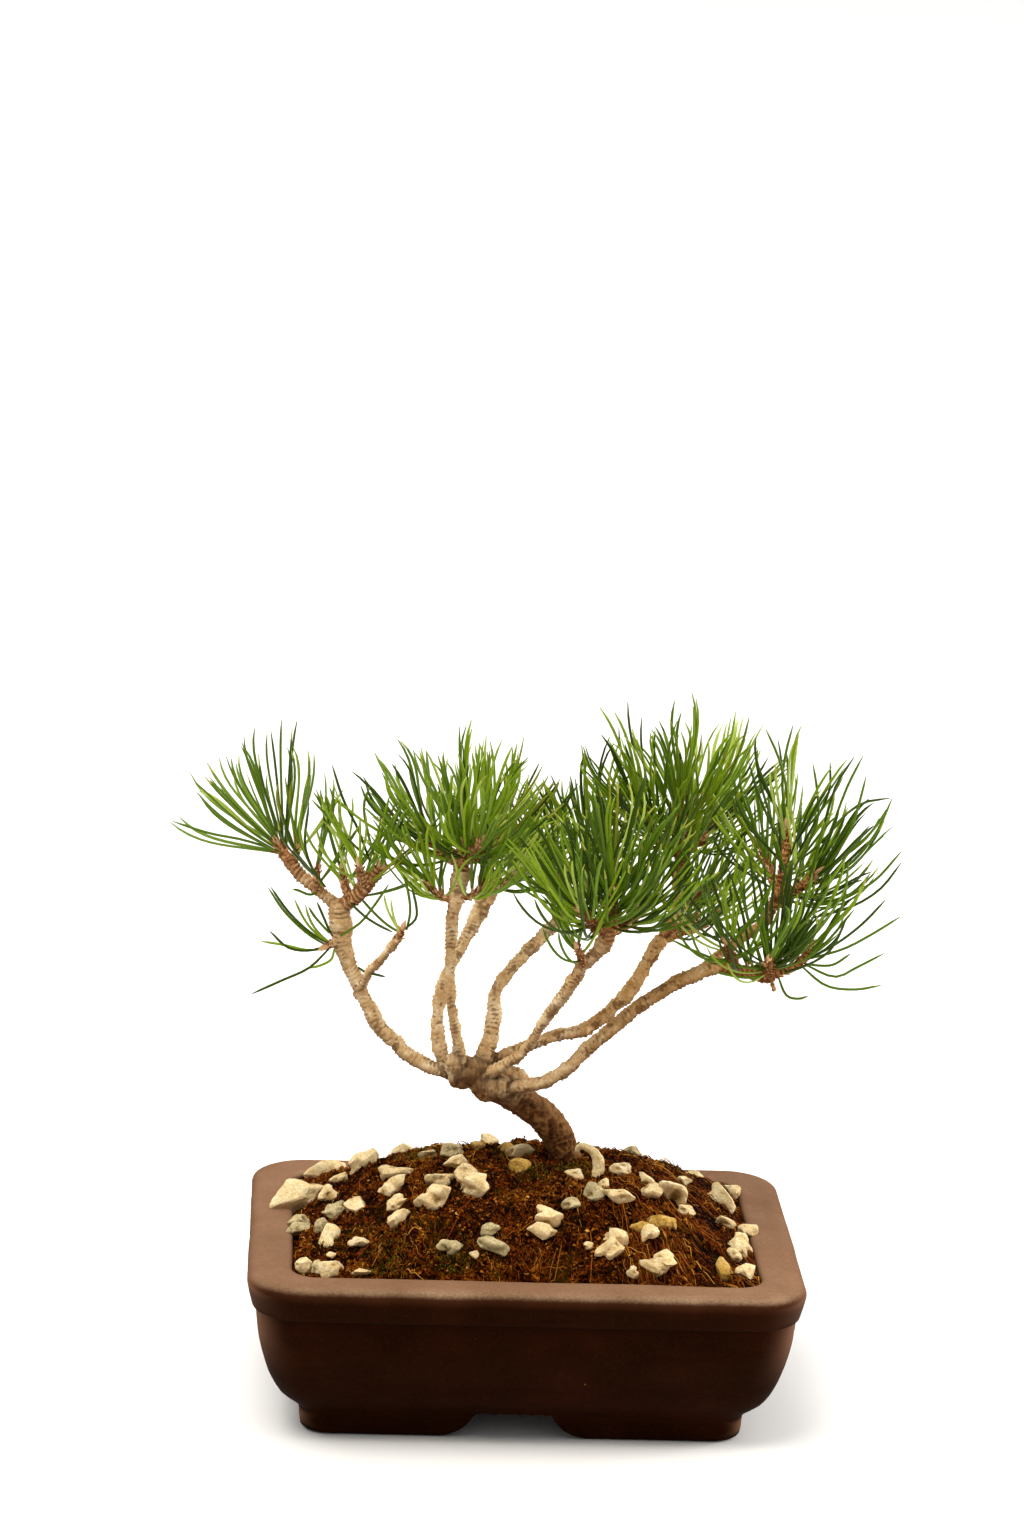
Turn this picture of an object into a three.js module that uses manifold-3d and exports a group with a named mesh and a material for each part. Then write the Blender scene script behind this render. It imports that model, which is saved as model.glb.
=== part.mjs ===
import * as THREE from 'three';
import { mergeVertices } from 'three/addons/utils/BufferGeometryUtils.js';
import Module from 'manifold-3d';

// Pine bonsai in a rectangular unglazed clay training pot, in millimetres, +Z up, the front toward -Y.
// The origin is under the middle of the pot, on the plane its feet stand on.

const wasm = await Module();
wasm.setup();

// Clearance kept between neighbouring pieces
const gap = 0.3;

// Pot: outer size at the rim, and the heights and insets of its wall
const potLength = 205;
const potDepth = 150;
const potHeight = 63.4;
const rimWidth = 16.4;
const rimCorner = 17;
const openingCorner = 6;
const bandHeight = 12.4;
const bandStep = 2.2;
const footHeight = 10.2;
const footInset = 20.2;
const floorThickness = 7;
const wallAtFloor = 25;
const archTopWidth = 29;
const archFootWidth = 56;
const sideArchTopWidth = 24;
const sideArchFootWidth = 44;
const archShift = -3.5;
const recessInset = footInset + 11;
const drainHole = 14;
const drainHoleSpacing = 70;
const cornerSteps = 5;

// Soil: the level at the pot wall and the mound it rises to
const soilEdge = 61.6;
const moundRise = 27.4;
const moundX = 5;
const moundY = 6;
const padRadius = 13;
const padBlend = 9;
const padRoom = 10;
const clodHeight = 1.1;
const soilCells = [18, 12];

// Trunk foot
const trunkX = 16.5;
const trunkY = 9;

// Needles
const needleRadius = 0.82;
const needleSides = 3;
const needleRings = 2;
const tries = 3;
const solidShare = 0.37;
const goldenTurn = 137.508;

// Space the needles keep to, and how far they stay from limbs, other masses and their own neighbours
const crownDepth = 73.5;
const crownFoot = potHeight + 4;
const limbClearance = 0.5;
const massClearance = 0.4;
const neighbourClearance = 0.1;

// Stones: height as a share of length plus width, how high the middle sits, how far one follows the slope
const stoneHeight = 0.34;
const stoneLift = 0.13;
const stoneLean = 0.7;
const slopeStep = 3;

function noise(index, channel, seed) {
  const wave = Math.sin(index * 12.9898 + channel * 78.233 + seed * 37.719) * 43758.5453;
  return wave - Math.floor(wave);
}

// Closed surface to solid
function solid(geometry) {
  const plain = geometry.clone();
  plain.deleteAttribute('normal');
  plain.deleteAttribute('uv');
  const welded = mergeVertices(plain, 1e-4);
  const mesh = new wasm.Mesh({
    numProp: 3,
    vertProperties: new Float32Array(welded.attributes.position.array),
    triVerts: new Uint32Array(welded.index.array),
  });
  return new wasm.Manifold(mesh);
}

// The largest connected body of a solid
function mainBody(shape) {
  return shape.decompose().reduce((a, b) => (b.volume() > a.volume() ? b : a));
}

function geometryOf(shape) {
  const mesh = shape.getMesh();
  const geometry = new THREE.BufferGeometry();
  const positions = new Float32Array(mesh.numVert * 3);
  for (let i = 0; i < mesh.numVert; i++) {
    for (let k = 0; k < 3; k++) {
      positions[i * 3 + k] = mesh.vertProperties[i * mesh.numProp + k];
    }
  }
  geometry.setAttribute('position', new THREE.BufferAttribute(positions, 3));
  geometry.setIndex(new THREE.BufferAttribute(new Uint32Array(mesh.triVerts), 1));
  geometry.computeVertexNormals();
  return geometry;
}

// Rounded rectangle in plan, counterclockwise, with the corner arcs joined by straight sides
function roundedRing(halfX, halfY, corner, height) {
  const ring = [];
  for (let quarter = 0; quarter < 4; quarter++) {
    const sx = quarter === 0 || quarter === 3 ? 1 : -1;
    const sy = quarter < 2 ? 1 : -1;
    for (let step = 0; step <= cornerSteps; step++) {
      const angle = ((quarter + step / cornerSteps) * Math.PI) / 2;
      const x = sx * (halfX - corner) + corner * Math.cos(angle);
      const y = sy * (halfY - corner) + corner * Math.sin(angle);
      ring.push([x, y, typeof height === 'function' ? height(x, y) : height]);
    }
  }
  return ring;
}

// Skin over rings stacked from the first to the last, closed by a fan at each end
function loft(rings) {
  const count = rings[0].length;
  const positions = [];
  const faces = [];
  const middle = (ring) => [0, 1, 2].map((k) => ring.reduce((sum, p) => sum + p[k], 0) / ring.length);
  rings.forEach((ring) => ring.forEach((p) => positions.push(...p)));
  positions.push(...middle(rings[0]), ...middle(rings[rings.length - 1]));
  const bottom = rings.length * count;
  for (let i = 0; i < count; i++) {
    const j = (i + 1) % count;
    faces.push(bottom, j, i);
    faces.push(bottom + 1, bottom - count + i, bottom - count + j);
    for (let r = 0; r + 1 < rings.length; r++) {
      const a = r * count;
      const b = a + count;
      faces.push(a + i, a + j, b + j, a + i, b + j, b + i);
    }
  }
  const geometry = new THREE.BufferGeometry();
  geometry.setAttribute('position', new THREE.BufferAttribute(new Float32Array(positions), 3));
  geometry.setIndex(faces);
  return geometry;
}

// Closed bar bent along a curve, its radius at each share of the length given by a function
function bend(bar, curve, rings, radiusAt) {
  const frames = curve.computeFrenetFrames(rings, false);
  const position = bar.attributes.position;
  const point = new THREE.Vector3();
  for (let i = 0; i < position.count; i++) {
    const ring = Math.round((position.getY(i) + 0.5) * rings);
    const radius = radiusAt(ring / rings);
    curve.getPointAt(ring / rings, point);
    point.addScaledVector(frames.normals[ring], position.getX(i) * radius);
    point.addScaledVector(frames.binormals[ring], -position.getZ(i) * radius);
    position.setXYZ(i, point.x, point.y, point.z);
  }
  return bar;
}

// Value at a share of the length, from values evenly spaced along it
function along(values, share) {
  const place = share * (values.length - 1);
  const first = Math.min(Math.floor(place), values.length - 2);
  return values[first] + (values[first + 1] - values[first]) * (place - first);
}

// Smooth curve through the points of a path, run on at both ends by an allowance
function smoothCurve(path, allowance = 0) {
  const points = path.map((point) => new THREE.Vector3(...point));
  const last = points.length - 1;
  points[0].add(points[0].clone().sub(points[1]).setLength(allowance));
  points[last].add(points[last].clone().sub(points[last - 1]).setLength(allowance));
  return new THREE.CatmullRomCurve3(points, false, 'centripetal');
}

// Tapering limb along its path, grown all round by an allowance
function limbSolid(limb, allowance) {
  const curve = smoothCurve(limb.path, allowance);
  const bar = new THREE.CylinderGeometry(1, 1, 1, limb.sides, limb.rings);
  return solid(bend(bar, curve, limb.rings, (share) => along(limb.radii, share) + allowance));
}

// Straight pieces of a curve with their radii, for measuring clearances
function stretches(curve, pieces, radiusAt) {
  const points = curve.getSpacedPoints(pieces);
  return points.slice(1).map((point, i) => ({
    line: new THREE.Line3(points[i], point),
    radius: Math.max(radiusAt(i / pieces), radiusAt((i + 1) / pieces)),
  }));
}

function clearOf(ours, theirs, clearance) {
  return ours.every((a) => theirs.every((b) => {
    const reach = a.radius + b.radius + clearance;
    return a.line.distanceSqToLine3(b.line) > reach * reach;
  }));
}

const group = new THREE.Group();
group.name = 'pine_bonsai';

const colours = {
  clay: new THREE.MeshStandardMaterial({ name: 'clay', color: 0x4a2f20, roughness: 0.85 }),
  soil: new THREE.MeshStandardMaterial({ name: 'soil', color: 0x3b2412, roughness: 1 }),
  bark: new THREE.MeshStandardMaterial({ name: 'bark', color: 0xb79a76, roughness: 0.9 }),
  needle: new THREE.MeshStandardMaterial({ name: 'needle', color: 0x4f7a2b, roughness: 0.6 }),
  stone: new THREE.MeshStandardMaterial({ name: 'stone', color: 0xe2d8bc, roughness: 0.95 }),
};

function addPiece(name, shape, material) {
  const mesh = new THREE.Mesh(geometryOf(shape), material.clone());
  mesh.name = name;
  mesh.material.name = `${material.name}_${name}`;
  group.add(mesh);
}

// Pot wall from the feet up to the rim as [height, inset from the rim edge]
const bandFoot = potHeight - bandHeight;
const wallProfile = [
  [0, 22.6], [0.9, 21.1], [4, footInset + 0.2], [footHeight - 1.2, footInset - 0.3],
  [13.2, 16.4], [17, 12.6], [23, 9.2], [31, 6.4], [40, 4.3], [bandFoot - 0.4, bandStep + 1],
  [bandFoot, bandStep], [56, 1.9], [58.6, 0.9], [60.6, 0], [62, 0.6], [63, 1.7], [potHeight, 3.4],
];
const outerRings = wallProfile.map(([height, inset]) => {
  const corner = Math.max(rimCorner - inset * 0.5, 6);
  return roundedRing(potLength / 2 - inset, potDepth / 2 - inset, corner, height);
});
const floorTop = footHeight + floorThickness;
const insideX = potLength / 2 - rimWidth;
const insideY = potDepth / 2 - rimWidth;
const floorDraw = wallAtFloor - rimWidth;
const hollow = loft([
  roundedRing(insideX - floorDraw, insideY - floorDraw, openingCorner, floorTop),
  roundedRing(insideX - floorDraw * 0.35, insideY - floorDraw * 0.35, openingCorner, floorTop + 9),
  roundedRing(insideX, insideY, openingCorner, bandFoot - 6),
  roundedRing(insideX, insideY, openingCorner, potHeight - 0.8),
  roundedRing(insideX + 0.8, insideY + 0.8, openingCorner + 0.8, potHeight + 0.01),
]);

// Arch between two feet, cut along Y, narrower at the top, between rounded shoulders
function archSolid(topWidth, footWidth, length) {
  const shoulder = (footWidth - topWidth) / 2;
  const shape = new THREE.Shape();
  shape.moveTo(-footWidth / 2, -1);
  shape.lineTo(footWidth / 2, -1);
  shape.lineTo(footWidth / 2, 0.6);
  shape.quadraticCurveTo(topWidth / 2 + shoulder * 0.2, footHeight * 0.25, topWidth / 2, footHeight);
  shape.lineTo(-topWidth / 2, footHeight);
  shape.quadraticCurveTo(-topWidth / 2 - shoulder * 0.2, footHeight * 0.25, -footWidth / 2, 0.6);
  const arch = new THREE.ExtrudeGeometry(shape, { depth: length, bevelEnabled: false, curveSegments: 4 });
  arch.translate(0, 0, -length / 2);
  arch.rotateX(Math.PI / 2);
  return solid(arch);
}
const frontArch = archSolid(archTopWidth, archFootWidth, potDepth).translate([archShift, 0, 0]);
const sideArch = archSolid(sideArchTopWidth, sideArchFootWidth, potLength).rotate([0, 0, 90]);
const recess = [potLength - 2 * recessInset, potDepth - 2 * recessInset, footHeight + 1];
const underside = new THREE.BoxGeometry(...recess);
underside.translate(0, 0, (footHeight - 1) / 2);
let pot = solid(loft(outerRings)).subtract(solid(hollow));
pot = pot.subtract(frontArch).subtract(sideArch).subtract(solid(underside));
for (const side of [-1, 1]) {
  const hole = new THREE.CylinderGeometry(drainHole / 2, drainHole / 2, floorThickness + 4, 16);
  hole.rotateX(Math.PI / 2);
  hole.translate((side * drainHoleSpacing) / 2, 0, footHeight + floorThickness / 2);
  pot = pot.subtract(solid(hole));
}
addPiece('pot', mainBody(pot), colours.clay);

// Height of the soil: a broad mound with clods on it, level under the trunk and no higher close to it
const padHeight = soilEdge + moundRise - 0.4;
function soilHeight(x, y) {
  const halfX = insideX - gap;
  const halfY = insideY - gap;
  const acrossX = x < moundX ? (moundX - x) / (halfX + moundX) : (x - moundX) / (halfX - moundX);
  const acrossY = y < moundY ? (moundY - y) / (halfY + moundY) : (y - moundY) / (halfY - moundY);
  const inX = Math.max(0, 1 - acrossX ** 2.5);
  const inY = Math.max(0, 1 - acrossY ** 2.8);
  const clods = Math.sin(x * 0.2 + 1.3) * Math.cos(y * 0.23 + 0.4) + 0.6 * Math.sin(x * 0.13 - y * 0.19);
  const rise = moundRise * inX * inY + clodHeight * clods * Math.min(1, 4 * inX * inY);
  const aside = Math.hypot(x - trunkX, y - trunkY) - padRadius;
  const level = THREE.MathUtils.clamp(aside / padBlend, 0, 1);
  const room = THREE.MathUtils.clamp((aside - padBlend) / padRoom, 0, 1);
  const above = soilEdge + rise - padHeight;
  return padHeight + above * level * level * (3 - 2 * level) * (above > 0 ? room : 1);
}

// Soil: a block of cells raised to that height, kept inside the hollow of the pot
const ground = new THREE.BoxGeometry(2 * insideX, 2 * insideY, 2, ...soilCells, 1);
const groundPoints = ground.attributes.position;
for (let i = 0; i < groundPoints.count; i++) {
  const [x, y, z] = [groundPoints.getX(i), groundPoints.getY(i), groundPoints.getZ(i)];
  groundPoints.setZ(i, z > 0 ? soilHeight(x, y) : 0);
}
const soilRings = [
  [floorDraw, floorTop + gap], [floorDraw * 0.35, floorTop + 9], [0, bandFoot - 6], [0, 2 * potHeight],
].map(([inset, height]) =>
  roundedRing(insideX - inset - gap, insideY - inset - gap, openingCorner, height));
const soil = solid(loft(soilRings)).intersect(solid(ground));

// Trunk, cut level at the soil, leaning left to the knot where the boughs fork
const trunk = {
  name: 'trunk', sides: 12, rings: 12,
  path: [[18, 9, 84], [16, 9, 90], [13, 9, 97], [8, 9, 103], [1, 9, 108], [-6, 9, 112], [-13, 9, 117],
    [-20, 8, 121], [-27, 8, 123]],
  radii: [9.6, 7.7, 6.3, 6.1, 6.3, 6.8, 7.4, 6.6, 4.8],
};

// Boughs, each from its fork to the tip where it enters its needles
const boughs = [
  { name: 'bough_far_left_lower', sides: 8, rings: 5, radii: [2.8, 2.5, 2.5, 2.7],
    path: [[-26, 8, 121], [-33, 7, 122], [-40, 6, 125], [-48, 4, 131], [-54, 3, 136]] },
  { name: 'bough_far_left_upper', sides: 8, rings: 8, radii: [2.7, 2.8, 3.1, 3.5, 3.9, 4.1],
    path: [[-54, 3, 136], [-58, 2, 146], [-61, 1, 151], [-65, 0, 158], [-70, 0, 165], [-73, -1, 173],
      [-73, -2, 181], [-73, -2, 190]] },
  { name: 'bough_far_left_tip', sides: 7, rings: 4, radii: [2.3, 2.1, 2.2, 2.6],
    path: [[-74, -2, 188], [-83, 2, 194], [-89, 5, 199], [-92, 6, 203]] },
  { name: 'twig_far_left', sides: 6, rings: 5, radii: [1.5, 1.35, 1.3, 1.8],
    path: [[-64, -1, 156], [-61, -6, 164], [-58, -10, 169], [-53, -16, 177], [-50, -20, 183]] },
  { name: 'bough_left_back', sides: 8, rings: 9, radii: [2.6, 2, 1.9, 1.8, 2, 2.4, 3.4, 3.6],
    path: [[-27, 9, 121], [-32, 12, 126], [-34, 14, 133], [-34, 17, 143], [-33, 19, 151], [-27, 23, 164],
      [-21, 27, 175], [-17, 29, 185], [-17, 31, 192]] },
  { name: 'bough_left_front', sides: 8, rings: 9, radii: [2.6, 2, 1.8, 1.8, 1.9, 2, 3, 3.4],
    path: [[-22, 5, 121], [-25, 3, 131], [-28, 1, 139], [-30, -2, 152], [-31, -4, 163], [-31, -6, 173],
      [-31, -9, 187], [-30, -10, 195], [-28, -12, 206]] },
  { name: 'bough_centre_back', sides: 8, rings: 9, radii: [2.9, 2.4, 2.2, 2.2, 2.3, 2.5, 2.7],
    path: [[-18, 9, 120], [-16, 11, 128], [-14, 13, 134], [-13, 16, 142], [-13, 18, 148], [-11, 20, 153],
      [-1, 25, 164], [11, 31, 175], [16, 33, 179]] },
  { name: 'bough_centre_front', sides: 8, rings: 9, radii: [2.4, 1.9, 1.8, 1.9, 2.1, 2.4, 2.3, 2.9],
    path: [[-17, 5, 119], [-13, 2, 124], [-8, -1, 128], [-2, -4, 134], [5, -11, 149], [14, -19, 166],
      [17, -22, 173], [22, -25, 179], [25, -28, 185]] },
  { name: 'bough_right_back', sides: 8, rings: 10, radii: [2.4, 2.1, 2.2, 2.3, 2.4, 2.5, 2.7],
    path: [[-19, 11, 121], [-12, 13, 127], [-5, 13, 131], [3, 13, 133], [11, 14, 135], [20, 16, 136],
      [27, 18, 140], [39, 21, 152], [47, 23, 167], [50, 24, 171]] },
  { name: 'bough_right_back_tip', sides: 7, rings: 5, radii: [2.2, 1.9, 1.8, 2.1],
    path: [[50, 24, 171], [53, 25, 177], [55, 26, 182], [55, 27, 191], [56, 28, 199]] },
  { name: 'bough_right_front', sides: 8, rings: 10, radii: [2.6, 2.2, 2.5, 2.6, 2.6, 2.6, 2.5],
    path: [[-9, 4, 116], [0, -2, 120], [7, -4, 123], [12, -5, 126], [25, -8, 140], [38, -10, 153],
      [54, -12, 165], [62, -13, 169], [69, -14, 172]] },
  { name: 'bough_right_front_rise', sides: 7, rings: 5, radii: [2, 1.8, 1.7, 1.9],
    path: [[63, -13, 170], [69, -9, 175], [78, -5, 181], [86, -7, 188]] },
];

// Limbs in growing order, each cut clear of the ones it grows from
const groundLevel = padHeight + gap;
const cutDepth = 40;
const belowGround = new THREE.BoxGeometry(2 * cutDepth, 2 * cutDepth, cutDepth);
belowGround.translate(trunkX, trunkY, groundLevel - cutDepth / 2);
const limbs = [trunk, ...boughs];
const limbGrown = limbs.map((limb) => limbSolid(limb, gap));
const limbStretches = limbs.map((limb) => {
  return stretches(smoothCurve(limb.path), limb.rings * 2, (share) => along(limb.radii, share));
});
limbs.forEach((limb, i) => {
  let shape = limbSolid(limb, 0);
  for (let k = 0; k < i; k++) {
    shape = shape.subtract(limbGrown[k]);
  }
  if (limb === trunk) {
    shape = shape.subtract(solid(belowGround));
  }
  addPiece(limb.name, mainBody(shape), colours.bark);
});

// Needle masses: short shoots, each a path with needles over its outer part
const needleMasses = [
  { name: 'needles_far_left', shoots: [
    { path: [[-91, 6, 201], [-94, 7, 206], [-97, 9, 212]], radius: 2.2, needles: 40, length: 46, wide: 62 },
    { path: [[-91, 6, 201], [-89, 4, 205], [-87, 3, 210]], radius: 1.5, needles: 12, length: 36, wide: 40 },
  ] },
  { name: 'needles_left_inner', shoots: [
    { path: [[-72, -2, 189], [-66, -6, 194], [-61, -8, 201], [-59, -9, 206]], radius: 2.4, needles: 20,
      length: 36, wide: 46 },
    { path: [[-69, -5, 192], [-71, -4, 196], [-72, -5, 202]], radius: 1.6, needles: 12,
      length: 38, wide: 44 },
    { path: [[-64, -7, 196], [-65, -10, 201], [-66, -13, 206]], radius: 1.6, needles: 12,
      length: 37, wide: 52 },
  ] },
  { name: 'needles_far_left_base', shoots: [
    { path: [[-80, 1, 192], [-81, -2, 196], [-83, -4, 202]], radius: 1.4, needles: 14, length: 40, wide: 44 },
  ] },
  { name: 'needles_left_twig', shoots: [
    { path: [[-51, -20, 182], [-49, -21, 186], [-48, -22, 189]], radius: 1.4, needles: 10,
      length: 30, wide: 44 },
  ] },
  { name: 'needles_left_spur', shoots: [
    { path: [[-73, -1, 173], [-77, -5, 174], [-81, -8, 173]], radius: 1.5, needles: 14,
      length: 30, wide: 66 },
  ] },
  { name: 'needles_left_front', shoots: [
    { path: [[-29, -12, 205], [-28, -12, 210], [-28, -12, 216]], radius: 2.8, needles: 40,
      length: 45, wide: 74 },
    { path: [[-29, -12, 207], [-35, -9, 210], [-40, -7, 215]], radius: 1.7, needles: 26,
      length: 44, wide: 70 },
    { path: [[-29, -12, 207], [-24, -16, 213], [-22, -19, 218]], radius: 1.7, needles: 22,
      length: 40, wide: 66 },
  ] },
  { name: 'needles_left_back', shoots: [
    { path: [[-17, 30, 191], [-17, 31, 197], [-16, 32, 203]], radius: 2.8, needles: 34,
      length: 44, wide: 72 },
    { path: [[-17, 31, 193], [-14, 36, 200], [-13, 39, 205]], radius: 1.6, needles: 20,
      length: 41, wide: 66 },
  ] },
  { name: 'needles_centre_back', shoots: [
    { path: [[15, 33, 178], [20, 32, 188], [22, 31, 200]], radius: 2.4, needles: 44, length: 46, wide: 70 },
    { path: [[17, 33, 182], [12, 38, 186], [9, 43, 191]], radius: 1.6, needles: 24, length: 42, wide: 68 },
  ] },
  { name: 'needles_centre_front', shoots: [
    { path: [[25, -27, 184], [26, -30, 193], [26, -31, 203]], radius: 2.6, needles: 52,
      length: 46, wide: 76 },
    { path: [[25, -28, 187], [19, -35, 192], [14, -40, 199]], radius: 1.7, needles: 28,
      length: 42, wide: 70 },
    { path: [[25, -28, 187], [33, -24, 190], [38, -21, 196]], radius: 1.7, needles: 26,
      length: 42, wide: 66 },
  ] },
  { name: 'needles_centre_spur', shoots: [
    { path: [[17, -22, 172], [16, -27, 177], [14, -30, 182]], radius: 1.5, needles: 12,
      length: 35, wide: 56 },
  ] },
  { name: 'needles_top', shoots: [
    { path: [[56, 28, 198], [56, 28, 208], [55, 27, 220]], radius: 2.4, needles: 44, length: 44, wide: 70 },
    { path: [[56, 28, 202], [47, 21, 210], [41, 16, 219]], radius: 1.7, needles: 30, length: 48, wide: 58 },
    { path: [[56, 28, 202], [63, 38, 206], [68, 45, 212]], radius: 1.7, needles: 26, length: 44, wide: 60 },
  ] },
  { name: 'needles_right_fork', shoots: [
    { path: [[50, 24, 170], [58, 30, 173], [63, 33, 178]], radius: 1.8, needles: 20, length: 40, wide: 66 },
    { path: [[57, 29, 172], [67, 38, 173], [73, 42, 177]], radius: 1.6, needles: 20, length: 38, wide: 64 },
  ] },
  { name: 'needles_right_low', shoots: [
    { path: [[68, -14, 172], [76, -15, 173], [85, -17, 174], [87, -19, 181]], radius: 2.6, needles: 40,
      length: 44, wide: 96 },
    { path: [[84, -17, 174], [94, -22, 179], [100, -27, 184]], radius: 1.8, needles: 34,
      length: 39, wide: 84 },
    { path: [[74, -15, 173], [71, -20, 179], [69, -25, 184]], radius: 1.6, needles: 24,
      length: 42, wide: 72 },
    { path: [[84, -17, 174], [83, -27, 178], [82, -35, 183]], radius: 1.6, needles: 24,
      length: 38, wide: 74 },
  ] },
  { name: 'needles_right_high', shoots: [
    { path: [[85, -7, 187], [90, -4, 201], [92, 0, 215], [92, 1, 221]], radius: 2, needles: 40,
      length: 39, wide: 70 },
    { path: [[89, -6, 197], [97, -11, 202], [102, -14, 208]], radius: 1.6, needles: 28,
      length: 38, wide: 62 },
    { path: [[89, -5, 199], [87, 6, 203], [85, 14, 208]], radius: 1.6, needles: 26, length: 38, wide: 64 },
    { path: [[88, -7, 193], [97, 4, 196], [105, 12, 201]], radius: 1.6, needles: 24, length: 38, wide: 66 },
  ] },
];

// One needle of a shoot: a golden-angle spiral opens from the tip down to the foot,
// each needle curving upward
function needleCurve(shoot, index, count, seed) {
  const curve = smoothCurve(shoot.path);
  const axis = curve.getPointAt(1).sub(curve.getPointAt(0.4)).normalize();
  const side = new THREE.Vector3(axis.z, 0, -axis.x).normalize();
  const front = new THREE.Vector3().crossVectors(side, axis);
  const share = (index + 0.5) / count;
  const turn = THREE.MathUtils.degToRad(index * goldenTurn + 60 * (noise(index, 1, seed) - 0.5));
  const open = shoot.wide * (1 - share) ** 0.8 + 7 + 18 * (noise(index, 2, seed) - 0.5);
  const tilt = THREE.MathUtils.degToRad(open);
  const length = shoot.length * (0.8 + 0.26 * noise(index, 3, seed));
  const heading = axis.clone().multiplyScalar(Math.cos(tilt));
  heading.addScaledVector(side, Math.cos(turn) * Math.sin(tilt));
  heading.addScaledVector(front, Math.sin(turn) * Math.sin(tilt));
  const lift = 0.1 + 0.3 * Math.max(0, 0.9 - heading.z) * noise(index, 4, seed) + 0.1 * (1 - share);
  const root = curve.getPointAt(0.45 + 0.52 * share);
  const knee = root.clone().addScaledVector(heading, length * 0.5);
  const tip = root.clone().addScaledVector(heading, length * (1 - 0.3 * lift));
  tip.z += length * lift;
  return new THREE.QuadraticBezierCurve3(root, knee, tip);
}

// A needle is kept where it stays in the crown's space, clear of the limbs, the other masses
// and its neighbours
const needleTaper = (share) => needleRadius * (1 - 0.6 * share ** 2);
const taken = [];
function shootRadii(shoot) {
  return [shoot.radius, shoot.radius * 0.9, shoot.radius * 0.62];
}
const stems = needleMasses.map((mass) => mass.shoots.flatMap((shoot) => {
  return stretches(smoothCurve(shoot.path), 5, (share) => along(shootRadii(shoot), share));
}));
function fits(pieces, neighbours, order) {
  const outer = pieces.slice(1);
  return pieces.every(({ line }) => Math.abs(line.end.y) < crownDepth && line.end.z > crownFoot)
    && limbStretches.every((limb) => clearOf(outer, limb, limbClearance))
    && stems.every((stem, k) => k === order || clearOf(pieces, stem, massClearance))
    && clearOf(pieces, taken, massClearance)
    && clearOf(outer, neighbours, neighbourClearance);
}

needleMasses.forEach((mass, order) => {
  const neighbours = [];
  const parts = [];
  mass.shoots.forEach((shoot, number) => {
    parts.push(limbSolid({ path: shoot.path, radii: shootRadii(shoot), sides: 6, rings: 4 }, 0));
    const count = Math.round(shoot.needles * solidShare);
    for (let i = 0; i < count; i++) {
      for (let attempt = 0; attempt < tries; attempt++) {
        const needle = needleCurve(shoot, i, count, order * 7 + number + attempt * 100);
        const pieces = stretches(needle, 6, needleTaper);
        if (fits(pieces, neighbours, order)) {
          const spike = new THREE.ConeGeometry(1, 1, needleSides, needleRings);
          const girth = (at) => needleTaper(at) / Math.max(1 - at, 0.01);
          parts.push(solid(bend(spike, needle, needleRings, girth)));
          neighbours.push(...pieces);
          break;
        }
      }
    }
  });
  taken.push(...neighbours);
  let shape = wasm.Manifold.union(parts);
  for (const limb of limbGrown) {
    shape = shape.subtract(limb);
  }
  addPiece(mass.name, mainBody(shape), colours.needle);
});

addPiece('soil', mainBody(soil), colours.soil);

// Stones lying on the soil: place, length, width and turn; the highest ones rest on the rim as well
const stones = [
  { x: -82, y: 22, long: 21, wide: 14, turn: 25 }, { x: -74, y: 53, long: 16, wide: 6, turn: 5 },
  { x: -60, y: 27, long: 12, wide: 8, turn: 10 }, { x: -73, y: 6, long: 9, wide: 8, turn: 60 },
  { x: -63, y: -17, long: 10, wide: 8, turn: 75 }, { x: -73, y: -32, long: 9, wide: 8, turn: 130 },
  { x: -50, y: -14, long: 11, wide: 7, turn: 170 }, { x: -48, y: -34, long: 10, wide: 7, turn: 35 },
  { x: -27, y: 15, long: 9, wide: 8, turn: 95 }, { x: -32, y: -12, long: 11, wide: 7, turn: 15 },
  { x: -20, y: -21, long: 12, wide: 10, turn: 110 }, { x: -35, y: -28, long: 14, wide: 9, turn: 165 },
  { x: -29, y: -47, long: 9, wide: 7, turn: 20 }, { x: -13, y: -49, long: 11, wide: 7, turn: 175 },
  { x: 26, y: -2, long: 11, wide: 7, turn: 125 }, { x: 34, y: -26, long: 11, wide: 7, turn: 5 },
  { x: 54, y: -13, long: 15, wide: 13, turn: 40 }, { x: 7, y: -38, long: 10, wide: 8, turn: 30 },
  { x: 32, y: -43, long: 10, wide: 8, turn: 150 }, { x: 50, y: -34, long: 10, wide: 6, turn: 10 },
  { x: 46, y: -52, long: 10, wide: 6, turn: 160 }, { x: 76, y: 13, long: 13, wide: 8, turn: 140 },
  { x: 86, y: 0, long: 10, wide: 8, turn: 25 }, { x: 82, y: -20, long: 8, wide: 9, turn: 80 },
  { x: 72, y: -49, long: 8, wide: 8, turn: 45 }, { x: 70, y: 54, long: 10, wide: 7, turn: 170 },
];
const raisedSoil = soil.translate([0, 0, gap]);
const raisedPot = pot.translate([0, 0, gap]);
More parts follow.
